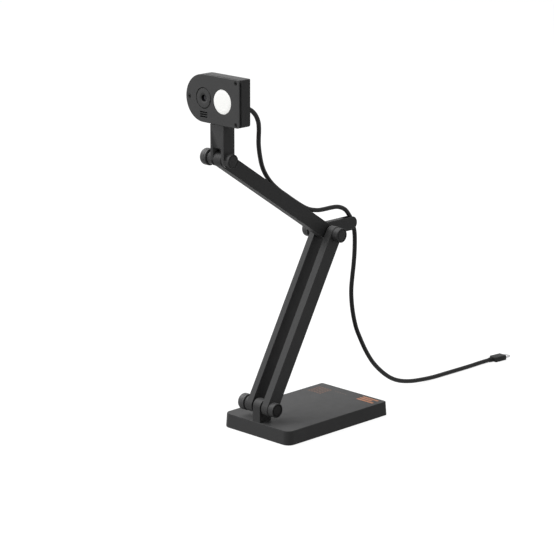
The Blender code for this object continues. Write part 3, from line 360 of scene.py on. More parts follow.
# Plug: a ribbed sleeve and a grooved grip. A rib's places are shares of its pitch, a wall of its groove
PLUG_SEAT = (-0.00058, 0.2778, 0.0029)
PLUG_HEADING = -5.9
PLUG_SIDES = 48
PLUG_SLEEVE_TIP = 0.0025
PLUG_SLEEVE_RADIUS = 0.0028
PLUG_SLEEVE_LENGTH = 0.0046
PLUG_SLEEVE_RIBS = 3
PLUG_RIB_DEPTH = 0.0004
PLUG_RIB_START = 0.05
PLUG_RIB_END = 0.60
PLUG_VALLEY_START = 0.65
PLUG_GRIP_START = 0.0062
PLUG_END = 0.0202
PLUG_HALF_WIDTH = 0.0056
PLUG_HALF_HEIGHT = 0.0028
PLUG_CORNER = 0.0016
PLUG_GROOVES = 5
PLUG_GROOVE_START = 0.0085
PLUG_GROOVE_PITCH = 0.0016
PLUG_GROOVE_WIDTH = 0.0007
PLUG_GROOVE_DEPTH = 0.00025
PLUG_GROOVE_WALL = 0.3
PLUG_END_EDGE = 0.0005

# Painted shade in the gap between the front plate and the casing
COVER_THICKNESS = 0.0015
GAP_MARGIN = 0.0001

# Printed marks on the base's top: plain bars, dots and dashes, each with its place, sizes and pitch
BASE_TOP = 0.0145
SQUARE = ((0, 0), (1, 0), (1, 1), (0, 1))
INK_THICKNESS = 0.00003
INK_SINK = 0.00001
BARS_PLACE = (0.0175, 0.0530)
BAR_LENGTHS = (0.0215, 0.0160, 0.0205)
BAR_WIDTH = 0.0028
BAR_PITCH = 0.0043
DOTS_PLACE = (-0.0365, 0.0400)
DOTS_ACROSS = 5
DOTS_ALONG = 5
DOT_SIZE = 0.0024
DOT_PITCH = 0.0037
DASHES_PLACE = (-0.0150, 0.0560)
DASHES = 5
DASH_LENGTH = 0.0022
DASH_WIDTH = 0.0012
DASH_PITCH = 0.0034


# Camera and cords


def add_camera():
    """The camera at the photo's view."""
    data = bpy.data.cameras.new("photo_camera")
    data.lens = CAMERA_LENS
    data.sensor_width = SENSOR_WIDTH
    data.clip_start = CLIP_START
    data.clip_end = CLIP_END
    camera = bpy.data.objects.new("photo_camera", data)
    bpy.context.scene.collection.objects.link(camera)
    camera.location = CAMERA_PLACE
    look = Vector(CAMERA_AIM) - Vector(CAMERA_PLACE)
    camera.rotation_euler = look.to_track_quat("-Z", "Y").to_euler()
    bpy.context.scene.camera = camera


def smooth_route(route, spacing):
    """Points at even steps along a smooth curve through a route's own points."""
    nodes = [Vector(point) for point in route]
    nodes = [2 * nodes[0] - nodes[1]] + nodes + [2 * nodes[-1] - nodes[-2]]
    fine = []
    for before, start, end, after in zip(nodes, nodes[1:], nodes[2:], nodes[3:]):
        for i in range(CORD_CURVE_STEPS):
            t = i / CORD_CURVE_STEPS
            bend = 2 * before - 5 * start + 4 * end - after
            twist = 3 * start - before - 3 * end + after
            fine.append((2 * start + (end - before) * t + bend * t * t + twist * t * t * t) / 2)
    fine.append(nodes[-2])
    lengths = [0.0]
    for start, end in zip(fine, fine[1:]):
        lengths.append(lengths[-1] + (end - start).length)
    count = max(2, round(lengths[-1] / spacing))
    points = []
    at = 0
    for i in range(count + 1):
        wanted = lengths[-1] * i / count
        while at < len(fine) - 2 and lengths[at + 1] < wanted:
            at += 1
        share = (wanted - lengths[at]) / (lengths[at + 1] - lengths[at])
        points.append(fine[at].lerp(fine[at + 1], share))
    return points


def new_piece(name, work, material):
    """Turns a bmesh into an object with one material, smooth but for its sharp edges."""
    bmesh.ops.recalc_face_normals(work, faces=work.faces)
    mesh = bpy.data.meshes.new(name)
    work.to_mesh(mesh)
    work.free()
    mesh.shade_smooth()
    mesh.set_sharp_from_angle(angle=math.radians(SHARP_ANGLE))
    mesh.materials.append(material)
    piece = bpy.data.objects.new(name, mesh)
    bpy.context.scene.collection.objects.link(piece)
    return piece


def bridge(work, ring, following):
    """Faces between two rings of points, where a ring of one point is a tip."""
    count = max(len(ring), len(following))
    for i in range(count):
        corners = [ring[i % len(ring)], ring[(i + 1) % len(ring)]]
        corners += [following[(i + 1) % len(following)], following[i % len(following)]]
        unique = list(dict.fromkeys(corners))
        if len(unique) > 2:
            work.faces.new(unique)


def tube(name, points, radius, material):
    """A round tube with flat ends along points, without twist."""
    work = bmesh.new()
    side = Vector((1.0, 0.0, 0.0))
    rings = []
    for i, point in enumerate(points):
        along = (points[min(i + 1, len(points) - 1)] - points[max(i - 1, 0)]).normalized()
        side = (side - along * side.dot(along)).normalized()
        up = along.cross(side)
        ring = []
        for k in range(CORD_SIDES):
            angle = math.tau * k / CORD_SIDES
            ring.append(work.verts.new(point + radius * (math.cos(angle) * side + math.sin(angle) * up)))
        rings.append(ring)
    for ring, following in zip(rings, rings[1:]):
        bridge(work, ring, following)
    work.faces.new(rings[0])
    work.faces.new(rings[-1])
    return new_piece(name, work, material)


# Materials


def shader_of(material):
    return material.node_tree.nodes["Principled BSDF"]


def tinted(colour, share=1.0):
    """A share of a colour, opaque."""
    return (*(min(1.0, channel * share) for channel in colour), 1.0)


def new_finish(name, colour, roughness, metallic=0.0, specular=PLAIN_SPECULAR):
    """A material with its plain values set, and its nodes ready to be added to."""
    material = bpy.data.materials.new(name)
    material.use_nodes = True
    inputs = shader_of(material).inputs
    inputs["Base Color"].default_value = tinted(colour)
    inputs["Roughness"].default_value = roughness
    inputs["Metallic"].default_value = metallic
    inputs["Specular IOR Level"].default_value = specular
    return material


def add_node(material, kind, values=None, **settings):
    """A node with its settings, and its inputs by name: a value, or a socket to link."""
    node = material.node_tree.nodes.new(kind)
    for setting, value in settings.items():
        setattr(node, setting, value)
    for key, value in (values or {}).items():
        if isinstance(value, bpy.types.NodeSocket):
            material.node_tree.links.new(value, node.inputs[key])
        else:
            node.inputs[key].default_value = value
    return node


def own_place(material, scale=(1.0, 1.0, 1.0)):
    """The place on the piece itself, which moves with it, stretched along its axes."""
    place = add_node(material, "ShaderNodeTexCoord").outputs["Object"]
    return add_node(material, "ShaderNodeMapping", {"Vector": place, "Scale": scale}).outputs["Vector"]


def noise(material, size, detail=SOFT_DETAIL, place=None):
    """Noise from 0 to 1 whose patches are about a size in metres across."""
    values = {"Vector": place or own_place(material), "Scale": 1.0 / size, "Detail": detail}
    return add_node(material, "ShaderNodeTexNoise", values).outputs["Fac"]


def cells(material, size, output, **settings):
    """A pattern of cells of about a size in metres."""
    values = {"Vector": own_place(material), "Scale": 1.0 / size}
    return add_node(material, "ShaderNodeTexVoronoi", values, **settings).outputs[output]


def spread(material, value, wanted, given=FULL_RANGE):
    """A value taken from the given range to the wanted one, and held inside it."""
    values = {"Value": value, "From Min": given[0], "From Max": given[1]}
    values.update({"To Min": wanted[0], "To Max": wanted[1]})
    return add_node(material, "ShaderNodeMapRange", values).outputs["Result"]


def calculate(material, operation, first, second=0.0):
    """The result of a sum on numbers or sockets."""
    node = add_node(material, "ShaderNodeMath", {0: first, 1: second}, operation=operation)
    return node.outputs["Value"]


def mix_colours(material, factor, first, second):
    """A colour between two colours, each given as a value or a socket."""
    node = add_node(material, "ShaderNodeMix", data_type="RGBA")
    for key, value in (("Factor", factor), ("A", first), ("B", second)):
        socket = [s for s in node.inputs if s.name == key and s.enabled][0]
        if isinstance(value, bpy.types.NodeSocket):
            material.node_tree.links.new(value, socket)
        else:
            socket.default_value = value
    return [s for s in node.outputs if s.enabled][0]


def shaded(material, pattern, colour, shades):
    """A colour between two shades of it, as a pattern goes from 0 to 1."""
    return mix_colours(material, pattern, tinted(colour, shades[0]), tinted(colour, shades[1]))


def uneven(material, roughness, pattern, gloss, given=FULL_RANGE):
    """A roughness that a pattern takes from one side of its plain value to the other."""
    return spread(material, pattern, (roughness + gloss[0], roughness + gloss[1]), given)


def edge_wear_and_highlight(material):
    """From 0 on flats to 1 along edges, told by how far a rounded edge would lean from the surface; it places
    both wear and a painted highlight.
    """
    leaned = add_node(material, "ShaderNodeBevel", {"Radius": EDGE_RADIUS}, samples=EDGE_SAMPLES)
    straight = add_node(material, "ShaderNodeNewGeometry")
    normals = {0: leaned.outputs["Normal"], 1: straight.outputs["Normal"]}
    same = add_node(material, "ShaderNodeVectorMath", normals, operation="DOT_PRODUCT")
    return spread(material, same.outputs["Value"], FALLING_RANGE, EDGE_RANGE)


def set_colour(material, socket):
    material.node_tree.links.new(socket, shader_of(material).inputs["Base Color"])


def set_roughness(material, socket):
    material.node_tree.links.new(socket, shader_of(material).inputs["Roughness"])


def set_bump(material, pattern, strength, height):
    """Relief by a pattern, of a height in metres."""
    values = {"Height": pattern, "Strength": strength, "Distance": height}
    bump = add_node(material, "ShaderNodeBump", values)
    material.node_tree.links.new(bump.outputs["Normal"], shader_of(material).inputs["Normal"])


def moulded_plastic(name, colour, roughness, grain=GRAIN_SIZE, height=GRAIN_HEIGHT, specular=CASING_SPECULAR):
    """Moulded plastic: fine spark-eroded grain, faint clouds, and handled edges that shine more and are
    paler, partly from wear and partly as a painted highlight.
    """
    material = new_finish(name, colour, roughness, specular=specular)
    clouds = noise(material, CLOUD_SIZE, PATCH_DETAIL)
    grains = noise(material, grain)
    patches = noise(material, RUB_PATCH_SIZE, PATCH_DETAIL)
    rubs = spread(material, patches, FULL_RANGE, RUB_PATCH_RANGE)
    rubbed_and_highlit = calculate(material, "MULTIPLY", edge_wear_and_highlight(material), rubs)
    body = shaded(material, clouds, colour, CLOUD_SHADES)
    pale_grains = spread(material, grains, PALE_GRAIN_SHARES, PALE_GRAIN_RANGE)
    speckled = mix_colours(material, pale_grains, body, tinted(colour, PALE_GRAIN_SHADE))
    # Paler edges: partly wear and partly a painted highlight
    pale_edge_share = calculate(material, "MULTIPLY", rubbed_and_highlit, RUB_AND_HIGHLIGHT_FADE)
    set_colour(material, mix_colours(material, pale_edge_share, speckled, tinted(colour, RUB_AND_HIGHLIGHT_SHADE)))
    gloss = noise(material, GLOSS_PATCH_SIZE, PATCH_DETAIL)
    cloudy = uneven(material, roughness, gloss, CASING_GLOSS, GLOSS_PATCH_RANGE)
    polish = calculate(material, "MULTIPLY", rubbed_and_highlit, RUB_POLISH)
    set_roughness(material, calculate(material, "SUBTRACT", cloudy, polish))
    set_bump(material, grains, GRAIN_STRENGTH, height)
    return material


def paint_gap_shade(material, low, high):
    """Painted shade: black and dull between two places along Y, where a gap lies in shade."""
    place = add_node(material, "ShaderNodeTexCoord").outputs["Object"]
    along = add_node(material, "ShaderNodeSeparateXYZ", {"Vector": place}).outputs["Y"]
    past = calculate(material, "GREATER_THAN", along, low)
    short = calculate(material, "LESS_THAN", along, high)
    inside = calculate(material, "MULTIPLY", past, short)
    inputs = shader_of(material).inputs
    colour = inputs["Base Color"].links[0].from_socket
    roughness = inputs["Roughness"].links[0].from_socket
    # Painted shade: the band between the two places is mixed to near black
    set_colour(material, mix_colours(material, inside, colour, tinted(GAP_SHADE_COLOUR)))
    set_roughness(material, calculate(material, "MAXIMUM", roughness, inside))


def smooth_plastic(name, colour, roughness, specular=SMOOTH_SPECULAR):
    """Plastic from a polished mould: no grain, long faint ripples and a few dull rubbed patches."""
    material = new_finish(name, colour, roughness, specular=specular)
    ripples = noise(material, RIPPLE_SIZE)
    patches = noise(material, DULL_PATCH_SIZE, SPECK_DETAIL)
    set_roughness(material, uneven(material, roughness, patches, SMOOTH_GLOSS, DULL_PATCH_RANGE))
    set_colour(material, shaded(material, ripples, colour, RIPPLE_SHADES))
    set_bump(material, ripples, RIPPLE_STRENGTH, RIPPLE_HEIGHT)
    return material


def cable_sheath(name, colour):
    """Soft cable sheath: a dull sheen, faint bloom and fine scuffs."""
    material = new_finish(name, colour, SHEATH_ROUGHNESS, specular=SHEATH_SPECULAR)
    bloom = spread(material, noise(material, BLOOM_SIZE, PATCH_DETAIL), FULL_RANGE, BLOOM_RANGE)
    scuffs = noise(material, SCUFF_SIZE, PATCH_DETAIL)
    set_colour(material, shaded(material, bloom, colour, BLOOM_SHADES))
    set_roughness(material, uneven(material, SHEATH_ROUGHNESS, scuffs, SHEATH_GLOSS, SCUFF_RANGE))
    set_bump(material, scuffs, SCUFF_STRENGTH, SCUFF_HEIGHT)
    return material


def rubber(name, colour):
    """Matt rubber with a fine pebbled face and pale dust."""
    material = new_finish(name, colour, RUBBER_ROUGHNESS, specular=RUBBER_SPECULAR)
    pebbles = cells(material, PEBBLE_SIZE, "Distance")
    dust = spread(material, noise(material, DUST_SIZE, SPECK_DETAIL), DUST_SHARES, DUST_RANGE)
    set_colour(material, shaded(material, dust, colour, DUST_SHADES))
    set_roughness(material, uneven(material, RUBBER_ROUGHNESS, pebbles, RUBBER_GLOSS))
    set_bump(material, pebbles, PEBBLE_STRENGTH, PEBBLE_HEIGHT)
    return material


def brushed_metal(name, colour):
    """Metal with fine brushed lines along one axis and slight stains."""
    material = new_finish(name, colour, STEEL_ROUGHNESS, 1.0)
    lines = noise(material, BRUSH_LINE_SIZE, PATCH_DETAIL, own_place(material, BRUSH_STRETCH))
    stains = noise(material, RIPPLE_SIZE, PATCH_DETAIL)
    set_colour(material, shaded(material, stains, colour, STAIN_SHADES))
    set_roughness(material, uneven(material, STEEL_ROUGHNESS, lines, BRUSHED_GLOSS, BRUSH_LINE_RANGE))
    set_bump(material, lines, BRUSH_STRENGTH, BRUSH_LINE_HEIGHT)
    return material


def cast_metal(name, colour):
    """Dull plated steel with crystal patches."""
    material = new_finish(name, colour, ZINC_ROUGHNESS, 1.0)
    crystals = cells(material, CRYSTAL_SIZE, "Color")
    shade = add_node(material, "ShaderNodeSeparateColor", {"Color": crystals}).outputs["Red"]
    set_colour(material, shaded(material, shade, colour, CRYSTAL_SHADES))
    set_roughness(material, uneven(material, ZINC_ROUGHNESS, shade, CRYSTAL_GLOSS))
    return material


def circuit_board(name, colour):
    """Lacquered board with tracks under the lacquer."""
    material = new_finish(name, colour, BOARD_ROUGHNESS)
    blocks = cells(material, TRACK_CELL_SIZE, "Distance", distance="CHEBYCHEV")
    tracks = spread(material, blocks, FALLING_RANGE, TRACK_RANGE)
    set_colour(material, shaded(material, tracks, colour, TRACK_SHADES))
    set_bump(material, tracks, TRACK_STRENGTH, TRACK_HEIGHT)
    return material


def lamp_cover(name, colour, centre):
    """The lamp's white cover: milky, with fine rings moulded about its middle, and lit from behind."""
    material = new_finish(name, colour, LAMP_ROUGHNESS)
    place = add_node(material, "ShaderNodeTexCoord").outputs["Object"]
    shifted = add_node(material, "ShaderNodeVectorMath", {0: place, 1: centre}, operation="SUBTRACT")
    values = {0: shifted.outputs["Vector"], 1: (1.0, 0.0, 1.0)}
    flat = add_node(material, "ShaderNodeVectorMath", values, operation="MULTIPLY").outputs["Vector"]
    out = add_node(material, "ShaderNodeVectorMath", {0: flat}, operation="LENGTH").outputs["Value"]
    turns = calculate(material, "MULTIPLY", out, math.tau / LAMP_RING_PITCH)
    wave = calculate(material, "SINE", turns)
    rings = spread(material, wave, FULL_RANGE, WAVE_RANGE)
    set_bump(material, rings, LAMP_RING_STRENGTH, LAMP_RING_HEIGHT)
    dust = noise(material, DUST_SIZE, PATCH_DETAIL)
    set_roughness(material, uneven(material, LAMP_ROUGHNESS, dust, LAMP_GLOSS))
    inputs = shader_of(material).inputs
    inputs["Emission Color"].default_value = tinted(LAMP_GLOW_COLOUR)
    inputs["Emission Strength"].default_value = LAMP_GLOW
    set_colour(material, shaded(material, noise(material, RUB_PATCH_SIZE), colour, MILK_SHADES))
    return material


def coated_glass(name, colour):
    """A lens's front glass: dark inside, polished, with a faint violet coating that shows at a slant."""
    material = new_finish(name, colour, GLASS_ROUGHNESS, specular=GLASS_SPECULAR)
    slant = add_node(material, "ShaderNodeLayerWeight", {"Blend": COATING_BLEND}).outputs["Facing"]
    inside = tinted(colour, GLASS_SHADE)
    set_colour(material, mix_colours(material, slant, inside, tinted(COATING_COLOUR)))
    smudges = noise(material, SMUDGE_SIZE, SPECK_DETAIL)
    set_roughness(material, uneven(material, GLASS_ROUGHNESS, smudges, GLASS_GLOSS, SMUDGE_RANGE))
    return material


def print_ink(name, colour):
    """Printed ink, a little uneven, over the grain of the plastic."""
    material = new_finish(name, colour, INK_ROUGHNESS, specular=CASING_SPECULAR)
    patches = noise(material, INK_PATCH_SIZE, PATCH_DETAIL)
    set_colour(material, shaded(material, patches, colour, INK_SHADES))
    set_roughness(material, uneven(material, INK_ROUGHNESS, patches, INK_GLOSS))
    set_bump(material, noise(material, GRAIN_SIZE), INK_GRAIN_STRENGTH, GRAIN_HEIGHT)
    return material


# Turned pieces


def rounded_profile(corners, radius):
    """A profile whose inner corners are rounded, each by a radius or as much as its sides allow."""
    points = [Vector(corners[0])]
    for before, corner, after in zip(corners, corners[1:], corners[2:]):
        here = Vector(corner)
        back = Vector(before) - here
        ahead = Vector(after) - here
        reach = min(radius, back.length / 2, ahead.length / 2)
        start = here + back.normalized() * reach
        end = here + ahead.normalized() * reach
        for i in range(FILLET_STEPS + 1):
            t = i / FILLET_STEPS
            point = start * (1 - t) ** 2 + here * 2 * t * (1 - t) + end * t ** 2
            if (point - points[-1]).length > SMALLEST:
                points.append(point)
    return [tuple(point) for point in points] + [corners[-1]]


def on_axis(along, place, across):
    """A point from its place along an axis and its two places across it."""
    point = list(across)
    point.insert("XYZ".index(along), place)
    return Vector(point)


def turned(name, profile, centre, along, material, closed=False):
    """A profile of (radius, place along the axis) turned about the axis."""
    work = bmesh.new()
    rings = []
    for radius, place in profile:
        if radius < SMALLEST:
            rings.append([work.verts.new(on_axis(along, place, centre))])
            continue
        ring = []
        for k in range(TURNED_STEPS):
            angle = math.tau * k / TURNED_STEPS
            across = (centre[0] + radius * math.cos(angle), centre[1] + radius * math.sin(angle))
            ring.append(work.verts.new(on_axis(along, place, across)))
        rings.append(ring)
    for ring, following in zip(rings, rings[1:]):
        bridge(work, ring, following)
    if closed:
        bridge(work, rings[-1], rings[0])
    return new_piece(name, work, material)


def middle(low, high):
    return (low + high) / 2


def knob(node, material):
    """A clamping knob: a neck against the boss, a drum with a fine line round it, and a domed end."""
    low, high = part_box(node)
    centre = middle(low, high)
    radius = (high.y - low.y) / 2
    end, root = low.x, high.x
    neck_end = root - KNOB_NECK_LENGTH
    line = root - KNOB_LINE_PLACE
    line_end = line - KNOB_LINE_WIDTH
    line_floor = radius - KNOB_LINE_DEPTH
    corners = [
        (0.0, root), (KNOB_NECK_RADIUS, root), (KNOB_NECK_RADIUS, neck_end),
        (radius - KNOB_SHOULDER, neck_end), (radius, neck_end - KNOB_SHOULDER), (radius, line),
        (line_floor, line), (line_floor, line_end), (radius, line_end), (radius, end + KNOB_DOME),
    ]
    profile = rounded_profile(corners, KNOB_FILLET)
    for i in range(1, DOME_STEPS + 1):
        angle = QUARTER_TURN * i / DOME_STEPS
        out = radius - KNOB_DOME * (1 - math.cos(angle))
        profile.append((out, end + KNOB_DOME * (1 - math.sin(angle))))
    profile.append((0.0, end + KNOB_DISH))
    return turned(node + "_finish", profile, (centre.y, centre.z), "X", material)


def end_cap(node, material, groove):
    """The disc in a hub's right end: a slightly dished middle, a ring groove and a thin rim."""
    low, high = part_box(node)
    centre = middle(low, high)
    radius = (high.y - low.y) / 2
    top, back = high.x, low.x
    groove_floor = top - groove
    corners = [
        (0.0, top - CAP_DISH), (CAP_DISC_RADIUS, top), (CAP_DISC_RADIUS, groove_floor),
        (radius - CAP_RIM, groove_floor), (radius - CAP_RIM, top - CAP_RIM), (radius, top - CAP_RIM),
        (radius, back), (0.0, back),
    ]
    profile = rounded_profile(corners, CAP_FILLET)
    return turned(node + "_finish", profile, (centre.y, centre.z), "X", material)


def lens_bezel(material):
    """The flat ring round the lens, with a groove round it and a cone down to its bore."""
    low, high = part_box("lens_bezel")
    centre = middle(low, high)
    radius = (high.x - low.x) / 2
    front, back = low.y, high.y
    floor = front + BEZEL_GROOVE_DEPTH
    land = radius - BEZEL_GROOVE_WIDTH
    corners = [
        (BEZEL_BORE, back), (radius, back), (radius, floor), (land, floor), (land, front),
        (BEZEL_CONE, front), (BEZEL_BORE, front + BEZEL_CONE_DEPTH), (BEZEL_BORE, back),
    ]
    profile = rounded_profile(corners, BEZEL_FILLET)[:-1]
    return turned("lens_bezel_finish", profile, (centre.x, centre.z), "Y", material, closed=True)


def lens_throat(material):
    """A black sleeve in the ring's bore, whose steps narrow down to the glass."""
    low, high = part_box("lens_bezel")
    centre = middle(low, high)
    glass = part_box("lens_glass")[0].y
    start = low.y + BEZEL_CONE_DEPTH
    drop = (glass - start) / THROAT_STEPS
    profile = [(BEZEL_BORE, glass), (BEZEL_BORE, start)]
    for i in range(THROAT_STEPS):
        inner = BEZEL_BORE - THROAT_STEP_WIDTH * (i + 1)
        profile += [(inner, start + drop * i), (inner, start + drop * (i + 1))]
    return turned("lens_throat", profile, (centre.x, centre.z), "Y", material, closed=True)


def lens_index(material):
    """A short dark line along the rim of the lens ring's face."""
    low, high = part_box("lens_bezel")
    centre = middle(low, high)
    work = bmesh.new()
    rings = []
    for i in range(INDEX_STEPS + 1):
        angle = math.radians(INDEX_ANGLE + INDEX_SPREAD * (2 * i / INDEX_STEPS - 1))
        ring = []
        for across, depth in SQUARE:
            reach = INDEX_START + INDEX_WIDTH * across
            place = (centre.x + reach * math.cos(angle), centre.z + reach * math.sin(angle))
            ring.append(work.verts.new(on_axis("Y", low.y + INDEX_RISE * (1 - 2 * depth), place)))
        rings.append(ring)
    for ring, following in zip(rings, rings[1:]):
        bridge(work, ring, following)
    work.faces.new(rings[0])
    work.faces.new(rings[-1])
    return new_piece("lens_index", work, material)


def mic_gauze(material):
    """The black gauze behind the front plate's slots."""
    low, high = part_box("microphone")
    centre = middle(low, high)
    face = low.y - GAUZE_GAP
    work = bmesh.new()
    rings = []
    for y in (face, face + GAUZE_THICKNESS):
        rings.append([])
        for a, b in SQUARE:
            place = (centre.x + GAUZE_WIDTH * (a - 0.5), centre.z + GAUZE_HEIGHT * (b - 0.5))
            rings[-1].append(work.verts.new(on_axis("Y", y, place)))
    bridge(work, *rings)
    work.faces.new(rings[0])
    work.faces.new(rings[1])
    return new_piece("mic_gauze", work, material)


def lens_front(material):
    """The lens's domed front glass."""
    low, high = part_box("lens_glass")
    centre = middle(low, high)
    radius = (high.x - low.x) / 2
    profile = [(0.0, high.y), (radius, high.y)]
    for i in range(DOME_STEPS):
        angle = QUARTER_TURN * i / DOME_STEPS
        profile.append((radius * math.cos(angle), low.y + GLASS_DOME * (1 - math.sin(angle))))
    profile.append((0.0, low.y))
    return turned("lens_glass_finish", profile, (centre.x, centre.z), "Y", material)


def lamp_disc(material):
    """The lamp's cover: a faintly crowned disc with a rounded rim, and its flange behind the front plate."""
    low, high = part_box("light_diffuser")
    centre = middle(low, high)
    flange = (high.x - low.x) / 2
    radius = flange - FLANGE_WIDTH
    front, back = low.y, high.y
    step = back - FLANGE_THICKNESS
    corners = [
        (0.0, back), (flange, back), (flange, step), (radius, step), (radius, front + LAMP_CROWN),
        (radius * LAMP_CROWN_SHARE, front), (0.0, front),
    ]
    profile = rounded_profile(corners, LAMP_FILLET)
    return turned("light_diffuser_finish", profile, (centre.x, centre.z), "Y", material)


def cover_screw(node, material):
    """A small pan head with a round socket, just below the front plate's face."""
    low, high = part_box(node)
    centre = middle(low, high)
    radius = (high.x - low.x) / 2
    front = low.y + SCREW_SINK
    socket = radius * SCREW_SOCKET_SHARE
    under = low.y + SCREW_HEAD
    corners = [
        (0.0, front + SCREW_SOCKET_DEPTH), (socket, front + SCREW_SOCKET_DEPTH), (socket, front),
        (radius - SCREW_RIM_DROP, front), (radius, front + SCREW_RIM_DROP), (radius, under),
        (SCREW_SHANK_RADIUS, under), (SCREW_SHANK_RADIUS, high.y), (0.0, high.y),
    ]
    profile = rounded_profile(corners, SCREW_FILLET)
    return turned(node + "_finish", profile, (centre.x, centre.z), "Y", material)


def relief_sleeve(material):
    """The sleeve on the head's back: a collar against the casing and ribs that get smaller."""
    low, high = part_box("strain_relief")
    centre = middle(low, high)
    collar = (high.x - low.x) / 2
    foot = high.y - RELIEF_LENGTH
    tip = high.y + RELIEF_OVERHANG
    collar_end = low.y + RELIEF_COLLAR
    corners = [
        (0.0, low.y), (collar, low.y), (collar, collar_end), (RELIEF_NECK_RADIUS, collar_end),
        (RELIEF_NECK_RADIUS, foot),
    ]
    for i in range(RELIEF_RIBS):
        start = foot + RELIEF_RIB_PITCH * i
        rib = RELIEF_RIB_RADIUS - RELIEF_RIB_SHRINK * i
        rib_end = start + RELIEF_RIB_LENGTH
        valley = rib - RELIEF_RIB_DEPTH
        corners += [(rib, start), (rib, rib_end), (valley, rib_end), (valley, start + RELIEF_RIB_PITCH)]
    corners += [(RELIEF_TIP_RADIUS, tip), (0.0, tip)]
    profile = rounded_profile(corners, RELIEF_FILLET)
    return turned("strain_relief_finish", profile, (centre.x, centre.z), "Y", material)


# Plug


def plug_ring(work, along, half_width, half_height, corner):
    """A ring of points round the plug: a box with round corners, or a circle where the corner fills it."""
    ring = []
    for k in range(PLUG_SIDES):
        angle = math.tau * (k + 0.5) / PLUG_SIDES
        across, up = math.cos(angle), math.sin(angle)
        x = math.copysign(half_width - corner, across) + corner * across
        z = math.copysign(half_height - corner, up) + corner * up
        ring.append(work.verts.new((x, along, z)))
    return ring


def plug_sections():
    """Sections along the plug: place, half width, half height and corner radius."""
    sections = [(0.0, PLUG_SLEEVE_TIP, PLUG_SLEEVE_TIP, PLUG_SLEEVE_TIP)]
    pitch = PLUG_SLEEVE_LENGTH / PLUG_SLEEVE_RIBS
    for i in range(PLUG_SLEEVE_RIBS):
        rib = PLUG_SLEEVE_TIP + (PLUG_SLEEVE_RADIUS - PLUG_SLEEVE_TIP) * (i + 1) / PLUG_SLEEVE_RIBS
        valley = rib - PLUG_RIB_DEPTH
        steps = ((PLUG_RIB_START, rib), (PLUG_RIB_END, rib), (PLUG_VALLEY_START, valley), (1.0, valley))
        for share, size in steps:
            sections.append((pitch * (i + share), size, size, size))
    sections.append((PLUG_GRIP_START, PLUG_HALF_WIDTH, PLUG_HALF_HEIGHT, PLUG_CORNER))
    wall = PLUG_GROOVE_WALL
    steps = ((0.0, 0.0), (wall, PLUG_GROOVE_DEPTH), (1.0 - wall, PLUG_GROOVE_DEPTH), (1.0, 0.0))
    for i in range(PLUG_GROOVES):
        start = PLUG_GROOVE_START + PLUG_GROOVE_PITCH * i
        for share, depth in steps:
            place = start + PLUG_GROOVE_WIDTH * share
            sections.append((place, PLUG_HALF_WIDTH - depth, PLUG_HALF_HEIGHT - depth, PLUG_CORNER))
    sections.append((PLUG_END - PLUG_END_EDGE, PLUG_HALF_WIDTH, PLUG_HALF_HEIGHT, PLUG_CORNER))
    half_width = PLUG_HALF_WIDTH - PLUG_END_EDGE
    sections.append((PLUG_END, half_width, PLUG_HALF_HEIGHT - PLUG_END_EDGE, PLUG_CORNER))
    return sections


def plug_grip(material):
    """The plug's moulded body, from its ribbed sleeve to its grooved grip."""
    work = bmesh.new()
    rings = [plug_ring(work, *section) for section in plug_sections()]
    for ring, following in zip(rings, rings[1:]):
        bridge(work, ring, following)
    work.faces.new(rings[0])
    work.faces.new(rings[-1])
    place = Matrix.Translation(PLUG_SEAT) @ Matrix.Rotation(math.radians(PLUG_HEADING), 4, "Z")
    bmesh.ops.transform(work, matrix=place, verts=work.verts)
    return new_piece("usb_plug_finish", work, material)


# Printed marks


def printed(name, marks, material):
    """A print on the base's top: thin rectangles, each from its low corner with a size."""
    work = bmesh.new()
    for x, y, width, depth in marks:
        corners = []
        for z in (BASE_TOP - INK_SINK, BASE_TOP + INK_THICKNESS):
            corners.append([work.verts.new((x + a * width, y + b * depth, z)) for a, b in SQUARE])
        bridge(work, *corners)
        work.faces.new(corners[0])
        work.faces.new(corners[1])
    piece = new_piece(name, work, material)
    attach(piece, "base")


def add_marks():
    """The prints: bars, a square of dots, and a row of dashes."""
    x, y = BARS_PLACE
    bars = [(x, y + BAR_PITCH * i, length, BAR_WIDTH) for i, length in enumerate(BAR_LENGTHS)]
    printed("base_mark_bars", bars, print_ink("ink_orange", ORANGE_INK))
    x, y = DOTS_PLACE
    places = [(i, k) for i in range(DOTS_ACROSS) for k in range(DOTS_ALONG)]
    dots = [(x + DOT_PITCH * i, y + DOT_PITCH * k, DOT_SIZE, DOT_SIZE) for i, k in places]
    printed("base_mark_dots", dots, print_ink("ink_brick", BRICK_INK))
    x, y = DASHES_PLACE
    dashes = [(x + DASH_PITCH * i, y, DASH_LENGTH, DASH_WIDTH) for i in range(DASHES)]
    printed("base_mark_dashes", dashes, print_ink("ink_grey", GREY_INK))


# Looks of the CAD's own nodes


def refine(node, angle):
    """Rounds a CAD node's edges that are sharper than an angle, and shades its faces smoothly."""
    piece = frame["nodes"][node]
    mesh = piece.data
    if "custom_normal" in mesh.attributes:
        mesh.attributes.remove(mesh.attributes["custom_normal"])
    mesh.shade_smooth()
    weld = piece.modifiers.new("weld", "WELD")
    weld.merge_threshold = WELD_DISTANCE
    flats = piece.modifiers.new("flats", "DECIMATE")
    flats.decimate_type = "DISSOLVE"
    flats.angle_limit = math.radians(FLAT_ANGLE)
    rounding = piece.modifiers.new("rounding", "BEVEL")
    rounding.limit_method = "ANGLE"
    rounding.angle_limit = math.radians(angle)
    rounding.width = CAD_ROUNDING
    rounding.segments = ROUNDING_SEGMENTS
    join = piece.modifiers.new("join", "WELD")
    join.merge_threshold = JOIN_DISTANCE
    normals = piece.modifiers.new("normals", "WEIGHTED_NORMAL")
    normals.keep_sharp = True


def dress(node, material):
    """Gives a CAD node its finish."""
    mesh = frame["nodes"][node].data
    mesh.materials.clear()
    mesh.materials.append(material)


# Floor and light


